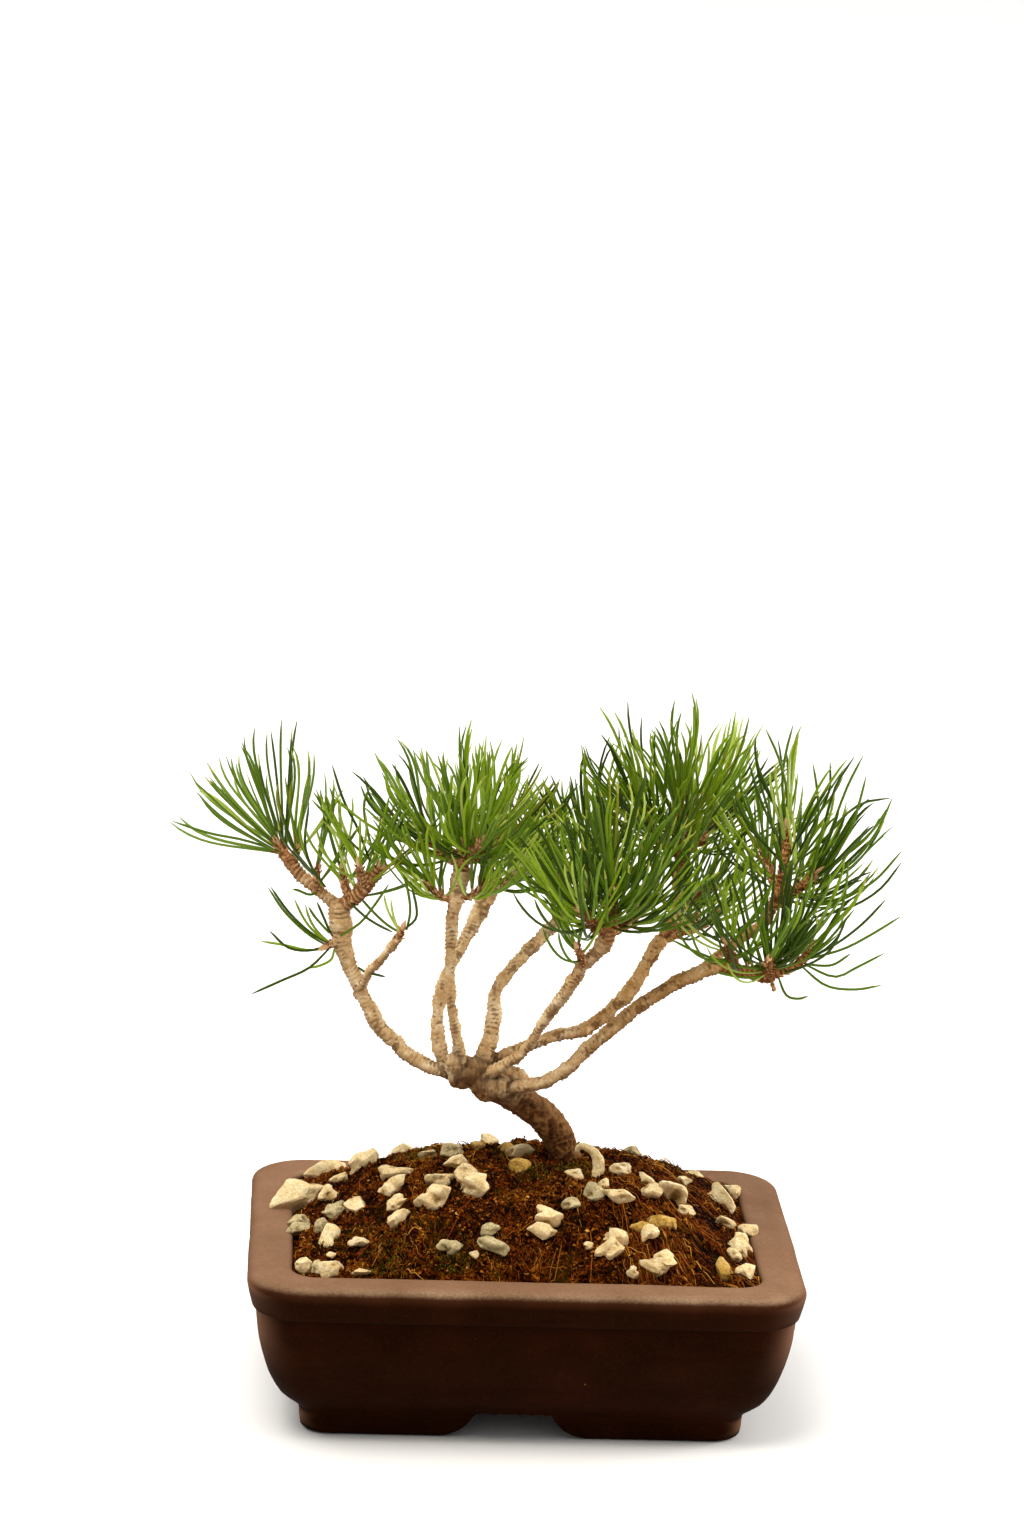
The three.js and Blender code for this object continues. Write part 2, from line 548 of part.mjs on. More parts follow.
stones.forEach((stone, order) => {
  const high = stoneHeight * (stone.long + stone.wide);
  const chip = new THREE.DodecahedronGeometry(1, 0);
  const corners = chip.attributes.position;
  for (let i = 0; i < corners.count; i++) {
    const corner = new THREE.Vector3().fromBufferAttribute(corners, i);
    const place = Math.round(corner.x * 50) + Math.round(corner.y * 50) * 3 + Math.round(corner.z * 50) * 7;
    corner.multiplyScalar(0.86 + 0.3 * noise(place, 5, order));
    corners.setXYZ(i, (corner.x * stone.long) / 2, (corner.y * stone.wide) / 2, (corner.z * high) / 2);
  }
  const riseX = soilHeight(stone.x + slopeStep, stone.y) - soilHeight(stone.x - slopeStep, stone.y);
  const riseY = soilHeight(stone.x, stone.y + slopeStep) - soilHeight(stone.x, stone.y - slopeStep);
  const upright = new THREE.Vector3(-riseX * stoneLean, -riseY * stoneLean, 2 * slopeStep).normalize();
  chip.rotateZ(THREE.MathUtils.degToRad(stone.turn));
  chip.applyQuaternion(new THREE.Quaternion().setFromUnitVectors(new THREE.Vector3(0, 0, 1), upright));
  chip.translate(stone.x, stone.y, soilHeight(stone.x, stone.y) + high * stoneLift);
  const shape = solid(chip).subtract(raisedSoil).subtract(raisedPot);
  addPiece(`stone_${String(order + 1).padStart(2, '0')}`, mainBody(shape), colours.stone);
});

export default group;
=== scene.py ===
import math
import bpy
import numpy as np
from mathutils import Matrix, Vector


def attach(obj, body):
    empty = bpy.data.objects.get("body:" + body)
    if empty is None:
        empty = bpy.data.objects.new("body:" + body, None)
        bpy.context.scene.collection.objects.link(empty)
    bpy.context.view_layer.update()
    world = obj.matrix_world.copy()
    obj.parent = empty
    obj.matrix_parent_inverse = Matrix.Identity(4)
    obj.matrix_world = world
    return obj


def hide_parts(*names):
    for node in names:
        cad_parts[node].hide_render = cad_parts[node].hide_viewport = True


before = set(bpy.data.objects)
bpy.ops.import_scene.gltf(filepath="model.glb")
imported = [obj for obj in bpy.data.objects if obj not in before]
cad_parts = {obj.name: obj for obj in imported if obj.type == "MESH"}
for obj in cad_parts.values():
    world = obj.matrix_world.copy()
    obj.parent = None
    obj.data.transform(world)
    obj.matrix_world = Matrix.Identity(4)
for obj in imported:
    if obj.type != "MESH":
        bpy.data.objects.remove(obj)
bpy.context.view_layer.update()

# Pine bonsai in an unglazed clay training pot. Sizes in the dictionaries are millimetres in the CAD frame,
# with the pot's middle at the origin, its long side along X and the front toward -Y.

mm = 0.001


# camera and light

camera = dict(place=(-90.41, -1534.39, 611.83), heading=2.969, pitch=13.561, roll=2.372, lens=100.754,
              sensor=36, farthest=100)


# The view looks along heading and pitch, and then turns by roll round that line.
def makeCamera():
    heading, pitch, roll = (math.radians(camera[k]) for k in ("heading", "pitch", "roll"))
    level = math.cos(pitch)
    ahead = Vector((math.sin(heading) * level, math.cos(heading) * level, -math.sin(pitch)))
    right = Vector((math.cos(heading), -math.sin(heading), 0))
    up = right.cross(ahead)
    turnedRight = right * math.cos(roll) + up * math.sin(roll)
    turnedUp = up * math.cos(roll) - right * math.sin(roll)
    data = bpy.data.cameras.new("photoCamera")
    data.lens = camera["lens"]
    data.sensor_width = camera["sensor"]
    data.clip_end = camera["farthest"]
    view = bpy.data.objects.new("photoCamera", data)
    place = Matrix((turnedRight, turnedUp, -ahead)).transposed().to_4x4()
    place.translation = Vector(camera["place"]) * mm
    view.matrix_world = place
    bpy.context.scene.collection.objects.link(view)
    bpy.context.scene.camera = view


lights = dict(
    ceiling=dict(place=(0.2, 6, 5), toward=(0.2, 6, 0), size=16, power=860, colour=(1, 0.99, 0.97)),
    key=dict(place=(-0.55, -0.6, 1.9), toward=(0, 0, 0.13), size=1.1, power=33, colour=(1, 0.95, 0.86)),
    side=dict(place=(1.5, 0.3, 0.5), toward=(0, 0, 0.05), size=0.9, power=22, colour=(1, 0.96, 0.9)),
)
room = dict(floor=(0.94, 0.94, 0.94), sky=(1.0, 0.99, 0.97), strength=0.34, reach=16)


# Square lamps that look from their place toward a point, under an even sky.
def makeLights():
    for name, light in lights.items():
        data = bpy.data.lights.new(name, "AREA")
        data.energy = light["power"]
        data.size = light["size"]
        data.color = light["colour"]
        lamp = bpy.data.objects.new(name, data)
        place = Vector(light["place"])
        toward = Vector(light["toward"]) - place
        lamp.matrix_world = Matrix.Translation(place) @ toward.to_track_quat("-Z", "Y").to_matrix().to_4x4()
        bpy.context.scene.collection.objects.link(lamp)
    world = bpy.data.worlds.new("studio")
    world.use_nodes = True
    sky = world.node_tree.nodes["Background"]
    sky.inputs["Color"].default_value = (*room["sky"], 1)
    sky.inputs["Strength"].default_value = room["strength"]
    bpy.context.scene.world = world
    bpy.context.scene.view_settings.view_transform = "Standard"


# A pale square floor at height 0.
def makeFloor():
    finish = Finish("studioFloor", 0.9)
    finish.surface.inputs["Base Color"].default_value = (*room["floor"], 1)
    reach = room["reach"] / mm
    x, y = reach * np.array([-1, 1, 1, -1]), reach * np.array([-1, -1, 1, 1])
    addPiece("floor", np.stack([x, y, 0 * x], 1), [np.array([[0, 1, 2, 3]])], [finish], None)


# shader tools

# One number socket that can be added, taken away and multiplied.
class Value:
    def __init__(self, finish, socket):
        self.finish = finish
        self.socket = socket

    def math(self, operation, first, second):
        node = self.finish.node("ShaderNodeMath", {"operation": operation}, {0: first, 1: second})
        return Value(self.finish, node.outputs[0])

    def __add__(self, other):
        return self.math("ADD", self, other)

    def __sub__(self, other):
        return self.math("SUBTRACT", self, other)

    def __rsub__(self, other):
        return self.math("SUBTRACT", other, self)

    def __mul__(self, other):
        return self.math("MULTIPLY", self, other)

    __radd__ = __add__
    __rmul__ = __mul__


# One material. Its node method is the only place where nodes are made.
class Finish:
    def __init__(self, name, roughness, colour=None, **plain):
        self.material = bpy.data.materials.new(name)
        self.material.use_nodes = True
        self.tree = self.material.node_tree
        self.surface = self.tree.nodes["Principled BSDF"]
        self.surface.inputs["Roughness"].default_value = roughness
        if colour:
            self.surface.inputs["Base Color"].default_value = (*linear(colour), 1)
        for socket, value in plain.items():
            self.surface.inputs[socket.replace("_", " ")].default_value = value

    def node(self, kind, settings, inputs):
        node = self.tree.nodes.new(kind)
        for name, value in settings.items():
            if name == "stops":
                while len(node.color_ramp.elements) < len(value):
                    node.color_ramp.elements.new(1)
                for element, (at, colour) in zip(node.color_ramp.elements, value):
                    element.position = at
                    element.color = (*linear(colour), 1)
            else:
                setattr(node, name, value)
        for name, value in inputs.items():
            self.feed(node.inputs[name], value)
        return node

    def feed(self, socket, value):
        if isinstance(value, Value):
            self.tree.links.new(value.socket, socket)
        elif isinstance(value, bpy.types.NodeSocket):
            self.tree.links.new(value, socket)
        else:
            socket.default_value = value

    def place(self):
        return self.node("ShaderNodeTexCoord", {}, {}).outputs["Object"]

    # noise from 0 to 1 whose lumps are about as wide as size, in millimetres
    def cloud(self, size, detail=3, rough=0.6, stretch=None):
        where = self.place()
        if stretch:
            where = self.node("ShaderNodeMapping", {}, {"Vector": where, "Scale": stretch}).outputs[0]
        inputs = {"Vector": where, "Scale": 1 / (size * mm), "Detail": detail, "Roughness": rough}
        node = self.node("ShaderNodeTexNoise", {}, inputs)
        return Value(self, node.outputs[0])

    # the place along one axis, in metres
    def position(self, axis):
        return Value(self, self.node("ShaderNodeSeparateXYZ", {}, {0: self.place()}).outputs[axis])

    # a value that the mesh carries at its points
    def own(self, name):
        node = self.node("ShaderNodeAttribute", {"attribute_name": name}, {})
        return Value(self, node.outputs["Fac"])

    # 0 below low, 1 above high, smooth between
    def rise(self, value, low, high):
        node = self.node("ShaderNodeMapRange", {"interpolation_type": "SMOOTHSTEP"},
                         {"Value": value, "From Min": low, "From Max": high})
        return Value(self, node.outputs[0])

    def ramp(self, value, stops):
        return self.node("ShaderNodeValToRGB", {"stops": stops}, {0: value}).outputs[0]

    def mix(self, share, first, second, blend="MIX"):
        colours = [(*linear(c), 1) if isinstance(c, tuple) else c for c in (first, second)]
        node = self.node("ShaderNodeMix", {"data_type": "RGBA", "blend_type": blend},
                         {0: share, 6: colours[0], 7: colours[1]})
        return node.outputs[2]

    def bump(self, height, strength, depth):
        inputs = {"Height": height, "Strength": strength, "Distance": depth * mm}
        self.feed(self.surface.inputs["Normal"], self.node("ShaderNodeBump", {}, inputs).outputs[0])

    def colour(self, socket):
        self.feed(self.surface.inputs["Base Color"], socket)

    def rough(self, value):
        self.feed(self.surface.inputs["Roughness"], value)


# Finishes by name, each with its roughness and colour, and what they share.
def finishesOf(tints, **plain):
    return [Finish(name, roughness, colour, **plain) for name, (roughness, colour) in tints.items()]


# Screen colour from 0 to 255 to linear light: ((c + 0.055) / 1.055) ^ 2.4, and c / 12.92 near black.
def linear(colour):
    screen = np.array(colour) / 255
    return tuple(np.where(screen > 0.04045, ((screen + 0.055) / 1.055) ** 2.4, screen / 12.92).tolist())


# shape tools

# Frequencies of the sines that random numbers come from,
# for an index and for a place, and the sines' height.
indexWaves = (12.9898, 78.233, 37.719)
placeWaves = (12.71, 31.17, 7.47, 1.919)
waveHeight = 43758.5453
# Rings of tubes and limbs start at right angles to this line.
ringLean = np.array([0.1, 1, 0.05])


# What a number has above its floor.
def fraction(a):
    return a - np.floor(a)


# A number from 0 to 1 for each index: the fraction of a large sine of index, channel and seed.
def randomAt(index, channel, seed):
    byIndex, byChannel, bySeed = indexWaves
    return fraction(np.sin(index * byIndex + channel * byChannel + seed * bySeed) * waveHeight)


# The number that lies at a share of the way from the low limit to the high one.
def between(limits, share):
    low, high = limits
    return low + (high - low) * share


# Lumps from -1 to 1: random numbers at the corners of
# cells of the given size, blended smoothly between them.
def lumps(points, size, seed):
    byX, byY, byZ, bySeed = placeWaves
    cell = points / size
    base = np.floor(cell)
    blend = cell - base
    blend = blend * blend * (3 - 2 * blend)
    total = 0
    for corner in range(8):
        offset = np.array([(corner >> k) & 1 for k in range(3)])
        weight = np.prod(np.where(offset, blend, 1 - blend), axis=-1)
        x, y, z = np.moveaxis(base + offset, -1, 0)
        chance = fraction(np.sin(x * byX + y * byY + z * byZ + seed * bySeed) * waveHeight)
        total = total + weight * (2 * chance - 1)
    return total


# Vectors divided by their length.
def unit(vectors):
    return vectors / np.maximum(np.linalg.norm(vectors, axis=-1, keepdims=True), 1e-9)


# Centripetal Catmull-Rom curve through the points of a path, cut into evenly spaced points.
def smoothPath(path, count):
    points = np.array(path, float)
    points = np.vstack([2 * points[0] - points[1], points, 2 * points[-1] - points[-2]])
    corners = points[:-3], points[1:-2], points[2:-1], points[3:]
    before, first, second, after = corners
    gap = [np.sqrt(np.linalg.norm(b - a, axis=1))[:, None] for a, b in zip(corners, corners[1:])]
    slope = [(b - a) / apart for a, b, apart in zip(corners, corners[1:], gap)]
    startPull = (slope[0] - (second - before) / (gap[0] + gap[1]) + slope[1]) * gap[1]
    endPull = (slope[1] - (after - first) / (gap[1] + gap[2]) + slope[2]) * gap[1]
    t = np.linspace(0, 1, 33)[None, :, None]
    a, b, p, q = first[:, None], second[:, None], startPull[:, None], endPull[:, None]
    fine = a + p * t + (3 * (b - a) - 2 * p - q) * t ** 2 + (2 * (a - b) + p + q) * t ** 3
    fine = fine.reshape(-1, 3)
    travelled = np.concatenate([[0], np.cumsum(np.linalg.norm(np.diff(fine, axis=0), axis=1))])
    wanted = np.linspace(0, travelled[-1], count)
    return np.stack([np.interp(wanted, travelled, fine[:, k]) for k in range(3)], 1)


# The sum of the distances from each point to the next.
def pathLength(points):
    return np.linalg.norm(np.diff(points, axis=0), axis=1).sum()


# Values read at shares from 0 at the first one to 1 at the last, straight between neighbours.
def along(values, share):
    return np.interp(share, np.linspace(0, 1, len(values)), values)


# The same for the points of a path.
def pointsAlong(path, share):
    return np.stack([along(path[:, k], share) for k in range(3)], -1)


# Quads between neighbouring rows of a grid of points, the columns closed into rings.
def ringFaces(rows, columns, start=0):
    row, column = np.meshgrid(np.arange(rows - 1), np.arange(columns), indexing="ij")
    following = (column + 1) % columns
    quads = np.stack([row * columns + column, row * columns + following,
                      (row + 1) * columns + following, (row + 1) * columns + column], -1)
    return quads.reshape(-1, 4) + start


# Tubes round many paths at once: path (n, k, 3), radius (n, k). Each point carries a ring of
# corners, side * cos + over * sin * flat, and both ends are closed.
def tubes(paths, radii, sides, flat=1.0, lean=None):
    n, k = radii.shape
    ahead = unit(np.gradient(paths, axis=1))
    side = unit(np.cross(np.broadcast_to(ringLean if lean is None else lean, ahead.shape), ahead))
    over = np.cross(ahead, side)
    angle = np.arange(sides) / sides * 2 * np.pi
    ring = side[:, :, None] * np.cos(angle)[:, None] + over[:, :, None] * np.sin(angle)[:, None] * flat
    points = paths[:, :, None] + ring * radii[:, :, None, None]
    start = np.arange(n) * k * sides
    walls = (ringFaces(k, sides)[None] + start[:, None, None]).reshape(-1, 4)
    corner = np.arange(sides)
    ends = np.concatenate([start[:, None] + corner[::-1], start[:, None] + (k - 1) * sides + corner])
    return points.reshape(-1, 3), walls, ends


# Several sets of points and faces as one, with a finish number for each face.
class Heap:
    def __init__(self):
        self.points, self.sets, self.count = [], {}, 0

    def add(self, points, *sets):
        for faces, tint in sets:
            kept = self.sets.setdefault(faces.shape[1], [])
            kept.append((faces + self.count, np.broadcast_to(tint, len(faces))))
        self.points.append(points)
        self.count += len(points)

    def piece(self, name, finishes, slot, nodes=()):
        faceSets = [np.concatenate([faces for faces, _ in kept]) for kept in self.sets.values()]
        tints = np.concatenate([tint for kept in self.sets.values() for _, tint in kept])
        return addPiece(name, np.concatenate(self.points), faceSets, finishes, slot, nodes, tints)


# A mesh from points in millimetres and sets of faces of one size each.
# With a slot it rides the body, and with nodes it replaces them.
def addPiece(name, points, faceSets, finishes, slot, nodes=(), tints=None):
    mesh = bpy.data.meshes.new(name)
    sizes = np.concatenate([np.full(len(f), f.shape[1]) for f in faceSets])
    corners = np.concatenate([f.ravel() for f in faceSets])
    mesh.vertices.add(len(points))
    mesh.vertices.foreach_set("co", (points * mm).astype(np.float32).ravel())
    mesh.loops.add(len(corners))
    mesh.loops.foreach_set("vertex_index", corners.astype(np.int32))
    mesh.polygons.add(len(sizes))
    mesh.polygons.foreach_set("loop_start", (np.cumsum(sizes) - sizes).astype(np.int32))
    for finish in finishes:
        mesh.materials.append(finish.material)
    if tints is not None:
        mesh.polygons.foreach_set("material_index", tints.astype(np.int32))
    mesh.polygons.foreach_set("use_smooth", np.ones(len(sizes), bool))
    mesh.update(calc_edges=True)
    mesh.validate()
    piece = bpy.data.objects.new(name, mesh)
    bpy.context.scene.collection.objects.link(piece)
    if slot:
        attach(piece, "root")
    if nodes:
        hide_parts(*nodes)
    return piece


# A piece's points, in millimetres.
def pointsOf(piece):
    points = np.zeros(len(piece.data.vertices) * 3, np.float32)
    piece.data.vertices.foreach_get("co", points)
    return points.reshape(-1, 3).astype(float) / mm


# The normals at a piece's points.
def normalsOf(piece):
    normals = np.zeros(len(piece.data.vertices) * 3, np.float32)
    piece.data.vertex_normals.foreach_get("vector", normals)
    return normals.reshape(-1, 3).astype(float)


# New places for a piece's points, in millimetres.
def movePoints(piece, points):
    piece.data.vertices.foreach_set("co", (points * mm).astype(np.float32).ravel())
    piece.data.update()


# The piece's mesh becomes what its modifiers make of it.
def keepShape(piece, finish):
    shape = bpy.data.meshes.new_from_object(piece.evaluated_get(bpy.context.evaluated_depsgraph_get()))
    piece.modifiers.clear()
    piece.data = shape
    if not shape.materials:
        shape.materials.append(finish.material)
    shape.polygons.foreach_set("use_smooth", np.ones(len(shape.polygons), bool))


# A value for each point, which the finish reads by its name.
def mark(piece, name, values):
    layer = piece.data.attributes.new(name, "FLOAT", "POINT")
    layer.data.foreach_set("value", values.astype(np.float32))


# pot

pot = dict(
    length=205, depth=150, rimCorner=20, openingCorner=10, shoulder=3.4, footHeight=10.2, recess=31.2,
    floorTop=17.2, archTop=29, archFoot=56, sideArchTop=24, sideArchFoot=44, archShift=-3.5,
    archBend=(0.2, 0.25), archEdge=0.6, archInset=22, archCorner=6, join=17, bandFoot=49.6, drain=14,
    drainSpacing=70, drainSides=32, drainShaft=(8, 20),
    wall=[(0, 22.6), (0.9, 21.1), (4, 20.4), (9, 19.9), (13.2, 16.4), (17, 12.6), (23, 9.2), (31, 6.4),
        (40, 4.3), (49.8, 3.3), (50.3, 3.3), (50.6, 3.1), (50.9, 2.2), (51.3, 1.95), (53.5, 1.35),
        (56, 0.75), (58.6, 0.2), (60.2, 0)],
    lip=[(60.2, 0), (61.2, 0.3), (62.1, 1.0), (62.8, 2.2), (63.2, 3.8), (63.4, 6), (63.35, 9), (63.4, 12),
        (63.4, 14.6), (63.1, 15.7), (62.5, 16.2), (61.6, 16.4)],
    inside=[(58, 16.4), (52, 16.4), (45, 16.4), (26, 19.5), (17.2, 25), (17.2, 45), (17.2, 66)],
    underInsets=(66, 50, 38), footInsets=(31.1, 29.5, 26.5, 23.6),
    archShares=(0, 0.03, 0.07, 0.15, 0.25, 0.36, 0.47, 0.56, 0.64, 0.72, 0.79, 0.86, 0.93),
    bandHeights=(50.1, 50.4, 50.6, 50.75, 50.9, 51.05, 51.3, 52, 53.2, 54.6, 56, 57.2, 58.3, 59.1, 59.7),
    cornerSteps=9, longSteps=120, shortSteps=84, wallSteps=22, lipSteps=34, wobble=0.22,
    wobbleSizes=(34, 11, 1.7), seed=3)


# Rounded rectangles, one for each row of insets: quarter circles joined by straight sides.
def roundedGrid(inset, corner):
    halfX, halfY = pot["length"] / 2 - inset, pot["depth"] / 2 - inset
    turn = pot["cornerSteps"]
    xs, ys = [], []
    start = 0
    for quarter in range(4):
        sx = 1 if quarter in (0, 3) else -1
        sy = 1 if quarter < 2 else -1
        arc = slice(start, start + turn + 1)
        angle = (quarter + np.arange(turn + 1) / turn) * np.pi / 2
        xs.append(sx * (halfX[:, arc] - corner[:, arc]) + corner[:, arc] * np.cos(angle))
        ys.append(sy * (halfY[:, arc] - corner[:, arc]) + corner[:, arc] * np.sin(angle))
        lengthways = quarter % 2 == 0
        count = pot["longSteps"] if lengthways else pot["shortSteps"]
        line = slice(start + turn + 1, start + turn + count)
        t = 1 - 2 * np.arange(1, count) / count
        straightX, straightY = halfX[:, line] - corner[:, line], halfY[:, line] - corner[:, line]
        xs.append(sx * straightX * t if lengthways else sx * halfX[:, line])
        ys.append(sy * halfY[:, line] if lengthways else sy * straightY * t)
        start += turn + count
    return np.concatenate(xs, 1), np.concatenate(ys, 1)


# Height of the arch between two feet: level at the top, falling along a quadratic shoulder to the ground.
def archHeight(across, topWidth, footWidth):
    t = np.linspace(0, 1, 24)
    top, foot, height = topWidth / 2, footWidth / 2, pot["footHeight"]
    bendX, bendZ = pot["archBend"]
    x = (1 - t) ** 2 * foot + 2 * t * (1 - t) * (top + (foot - top) * bendX) + t ** 2 * top
    z = (1 - t) ** 2 * pot["archEdge"] + 2 * t * (1 - t) * height * bendZ + t ** 2 * height
    x = np.concatenate([[0], x[::-1], [foot + 0.5]])
    z = np.concatenate([[height], z[::-1], [0]])
    return np.interp(np.abs(across), x, z, right=0)


# Rings of the pot from the middle of its underside round the feet, up the
# wall, over the lip and down inside: inset, height and share. A ring with
# a share follows the arches, that far on the way from them up to the join.
def potRings(wall):
    under = (*pot["underInsets"], pot["recess"] + 0.5, pot["recess"])
    rings = [(inset, pot["footHeight"], None) for inset in under]
    rings += [(inset, 0, 0) for inset in pot["footInsets"]]
    rings += [(None, None, share) for share in pot["archShares"]]
    heights = (*np.linspace(pot["join"], pot["bandFoot"], pot["wallSteps"]), *pot["bandHeights"])
    rings += [(np.interp(height, wall[:, 0], wall[:, 1]), height, None) for height in heights]
    lip = smoothPath([(height, inset, 0) for height, inset in pot["lip"]], pot["lipSteps"])
    return rings + [(inset, height, None) for height, inset in (*lip[:, :2], *pot["inside"])]


# Corners get tighter with the inset on the outside, slower past the lip's shoulder, and are even inside.
def potCorners(inset):
    outer = np.maximum(pot["rimCorner"] - inset * 0.5, 6)
    opening, shoulder = pot["openingCorner"], pot["shoulder"]
    corner = np.where(inset > shoulder, np.maximum(opening, outer - (inset - shoulder) * 0.2), outer)
    inside = np.arange(len(inset))[:, None] > len(inset) - 2 - len(pot["inside"])
    corner = np.where(inside, opening, corner)
    return np.minimum(corner, np.maximum(pot["depth"] / 2 - inset - 1, 1))


# The pot as one closed skin: rings of points, a fan at each end, and two drain holes.
# At each place round the foot the higher one of the arches along x and along y counts.
def makePot():
    clay = clayFinish()
    wall = smoothPath([(height, inset, 0) for height, inset in pot["wall"]], 400)
    rings = potRings(wall)
    rows = len(rings)
    columns = 4 * pot["cornerSteps"] + 2 * pot["longSteps"] + 2 * pot["shortSteps"]
    even = np.ones((1, columns))
    footX, footY = roundedGrid(even * pot["archInset"], even * pot["archCorner"])
    arch = np.maximum(archHeight(footX - pot["archShift"], pot["archTop"], pot["archFoot"]),
                      archHeight(footY, pot["sideArchTop"], pot["sideArchFoot"]))[0]
    inset = np.zeros((rows, columns))
    level = np.zeros((rows, columns))
    for row, (ringInset, height, share) in enumerate(rings):
        if share is None:
            inset[row], level[row] = ringInset, height
        elif ringInset is not None:
            inset[row], level[row] = ringInset, np.minimum(arch, pot["footHeight"] - 0.02)
        else:
            level[row] = arch + (pot["join"] - arch) * share
            inset[row] = np.interp(level[row], wall[:, 0], wall[:, 1])
    points = np.stack([*roundedGrid(inset, potCorners(inset)), level], -1).reshape(-1, 3)
    points = np.vstack([points, [0, 0, pot["footHeight"]], [0, 0, pot["floorTop"]]])
    ring = np.arange(columns)
    following = (ring + 1) % columns
    last = (rows - 1) * columns
    bottom, floor = len(points) - 2, len(points) - 1
    fans = np.concatenate([np.stack([following, ring, ring * 0 + bottom], 1),
                           np.stack([last + ring, last + following, ring * 0 + floor], 1)])
    piece = addPiece("pot_clay", points, [ringFaces(rows, columns), fans], [clay], "clay", ["pot"])
    for side in (-1, 1):
        boreDrain(piece, clay, side * pot["drainSpacing"] / 2)
    softenPot(piece)


# A drain hole: a round shaft through the floor is cut out of the pot.
def boreDrain(piece, clay, x):
    sides = pot["drainSides"]
    around = np.linspace(0, 2 * np.pi, sides + 1)[:-1]
    radius = pot["drain"] / 2
    drill = np.stack([x + radius * np.cos(around), radius * np.sin(around), 0 * around], -1)
    shaft = np.stack([drill + [0, 0, height] for height in pot["drainShaft"]]).reshape(-1, 3)
    ends = np.stack([np.arange(sides)[::-1], sides + np.arange(sides)])
    bore = addPiece("bore", shaft, [ringFaces(2, sides), ends], [clay], None)
    cut = piece.modifiers.new("drain", "BOOLEAN")
    cut.operation = "DIFFERENCE"
    cut.solver = "MANIFOLD"
    cut.object = bore
    keepShape(piece, clay)
    bpy.data.objects.remove(bore)


# Clay shaped by hand: the surface moves along its normals
# by broad, middling and fine lumps, less near the ground.
def softenPot(piece):
    points, seed = pointsOf(piece), pot["seed"]
    broad, middling, fine = pot["wobbleSizes"]
    swell = lumps(points, broad, seed) + 0.4 * lumps(points, middling, seed + 1)
    fineness = 0.05 * lumps(points, fine, seed + 2)
    above = np.clip(points[:, 2] / 3, 0, 1)
    movePoints(piece, points + normalsOf(piece) * ((pot["wobble"] * swell + fineness) * above)[:, None])


# Clay by height: a dark body in soft patches, a band under the lip that turns paler toward its top as painted
# light from above, and dust on the lip, partly its own colour and partly a painted highlight. Iron dots, a
# dark line at the groove that is a painted shadow under the band, and a painted pale sheen where the outside
# turns away.
def clayFinish():
    clay = Finish("unglazedClay", 0.6, Specular_IOR_Level=0.03, Specular_Tint=(1, 0.5, 0.3, 1))
    height = clay.position("Z")
    patches = clay.cloud(26, 4, 0.55)
    grain = clay.cloud(1.1, 3, 0.7)
    wiped = clay.cloud(9, 3, 0.6, stretch=(0.35, 0.35, 1.6))
    body = clay.ramp(patches, [(0.3, (22, 6, 0)), (0.5, (28, 8, 1)), (0.72, (37, 12, 3))])
    body = clay.mix(clay.rise(grain, 0.5, 0.75) * 0.3, body, (58, 28, 14))
    body = clay.mix(clay.rise(wiped, 0.52, 0.7) * 0.3, body, (16, 5, 1))
    band = clay.ramp(patches, [(0.3, (46, 22, 9)), (0.7, (60, 32, 17))])
    # Dust on the lip, partly its own colour and partly a painted highlight where light from above falls on
    # the top.
    lipDustAndHighlight = clay.ramp(grain * 0.5 + patches * 0.5,
                     [(0.36, (112, 86, 64)), (0.5, (134, 107, 82)), (0.64, (156, 128, 101))])
    lipDustAndHighlightMask = clay.rise(height + patches * 0.0012 + grain * 0.0005, 0.062, 0.0642)
    # Painted light from above: the band under the lip turns paler toward its top.
    upper = clay.rise(height + patches * 0.002, 0.0585, 0.0628)
    shade = clay.mix(lipDustAndHighlightMask, clay.mix(upper, body, band), lipDustAndHighlight)
    specks = clay.node("ShaderNodeTexVoronoi", {}, {"Vector": clay.place(), "Scale": 170})
    dots = 1 - clay.rise(Value(clay, specks.outputs["Distance"]), 0.04, 0.09)
    shade = clay.mix(dots * clay.rise(clay.cloud(14), 0.6, 0.66) * 0.5, shade, (150, 92, 48))
    # Painted shadow: a dark line at the groove, where the band overhangs the body.
    grooveShadowLine = clay.rise(height, 0.0499, 0.0503) * clay.rise(height, 0.0512, 0.0508)
    shade = clay.mix(grooveShadowLine * 0.7, shade, (10, 3, 0))
    # Painted sheen: pale brown where the surface turns away from the view, but not on faces that look down.
    edge = clay.node("ShaderNodeLayerWeight", {}, {"Blend": 0.5}).outputs["Facing"]
    turned = clay.node("ShaderNodeNewGeometry", {}, {}).outputs["Normal"]
    level = Value(clay, clay.node("ShaderNodeSeparateXYZ", {}, {0: turned}).outputs["Z"])
    shade = clay.mix(clay.rise(edge, 0.14, 0.8) * clay.rise(level, -0.4, -0.05) * 0.7, shade, (120, 84, 62))
    clay.colour(shade)
    clay.rough(0.6 + grain * 0.2)
    clay.bump(grain * 0.7 + wiped * 0.3 - dots * 0.6, 0.3, 0.3)
    return clay


# soil, with its fibres and moss

soil = dict(
    halfX=85.8, halfY=58.3, corner=10, edge=61.6, rise=27.4, peakX=5, peakY=6, clodHeight=1.1, trunkX=16.5,
    trunkY=9, padRadius=13, padBlend=9, padRoom=10, padHeight=88.6, step=0.62,
    walls=((45, 0), (26, 0.033), (17.6, 0.1)), sunk=0.5, clods=((6.5, 1.1), (2.8, 1.4), (1.2, 0.9)),
    seed=11)


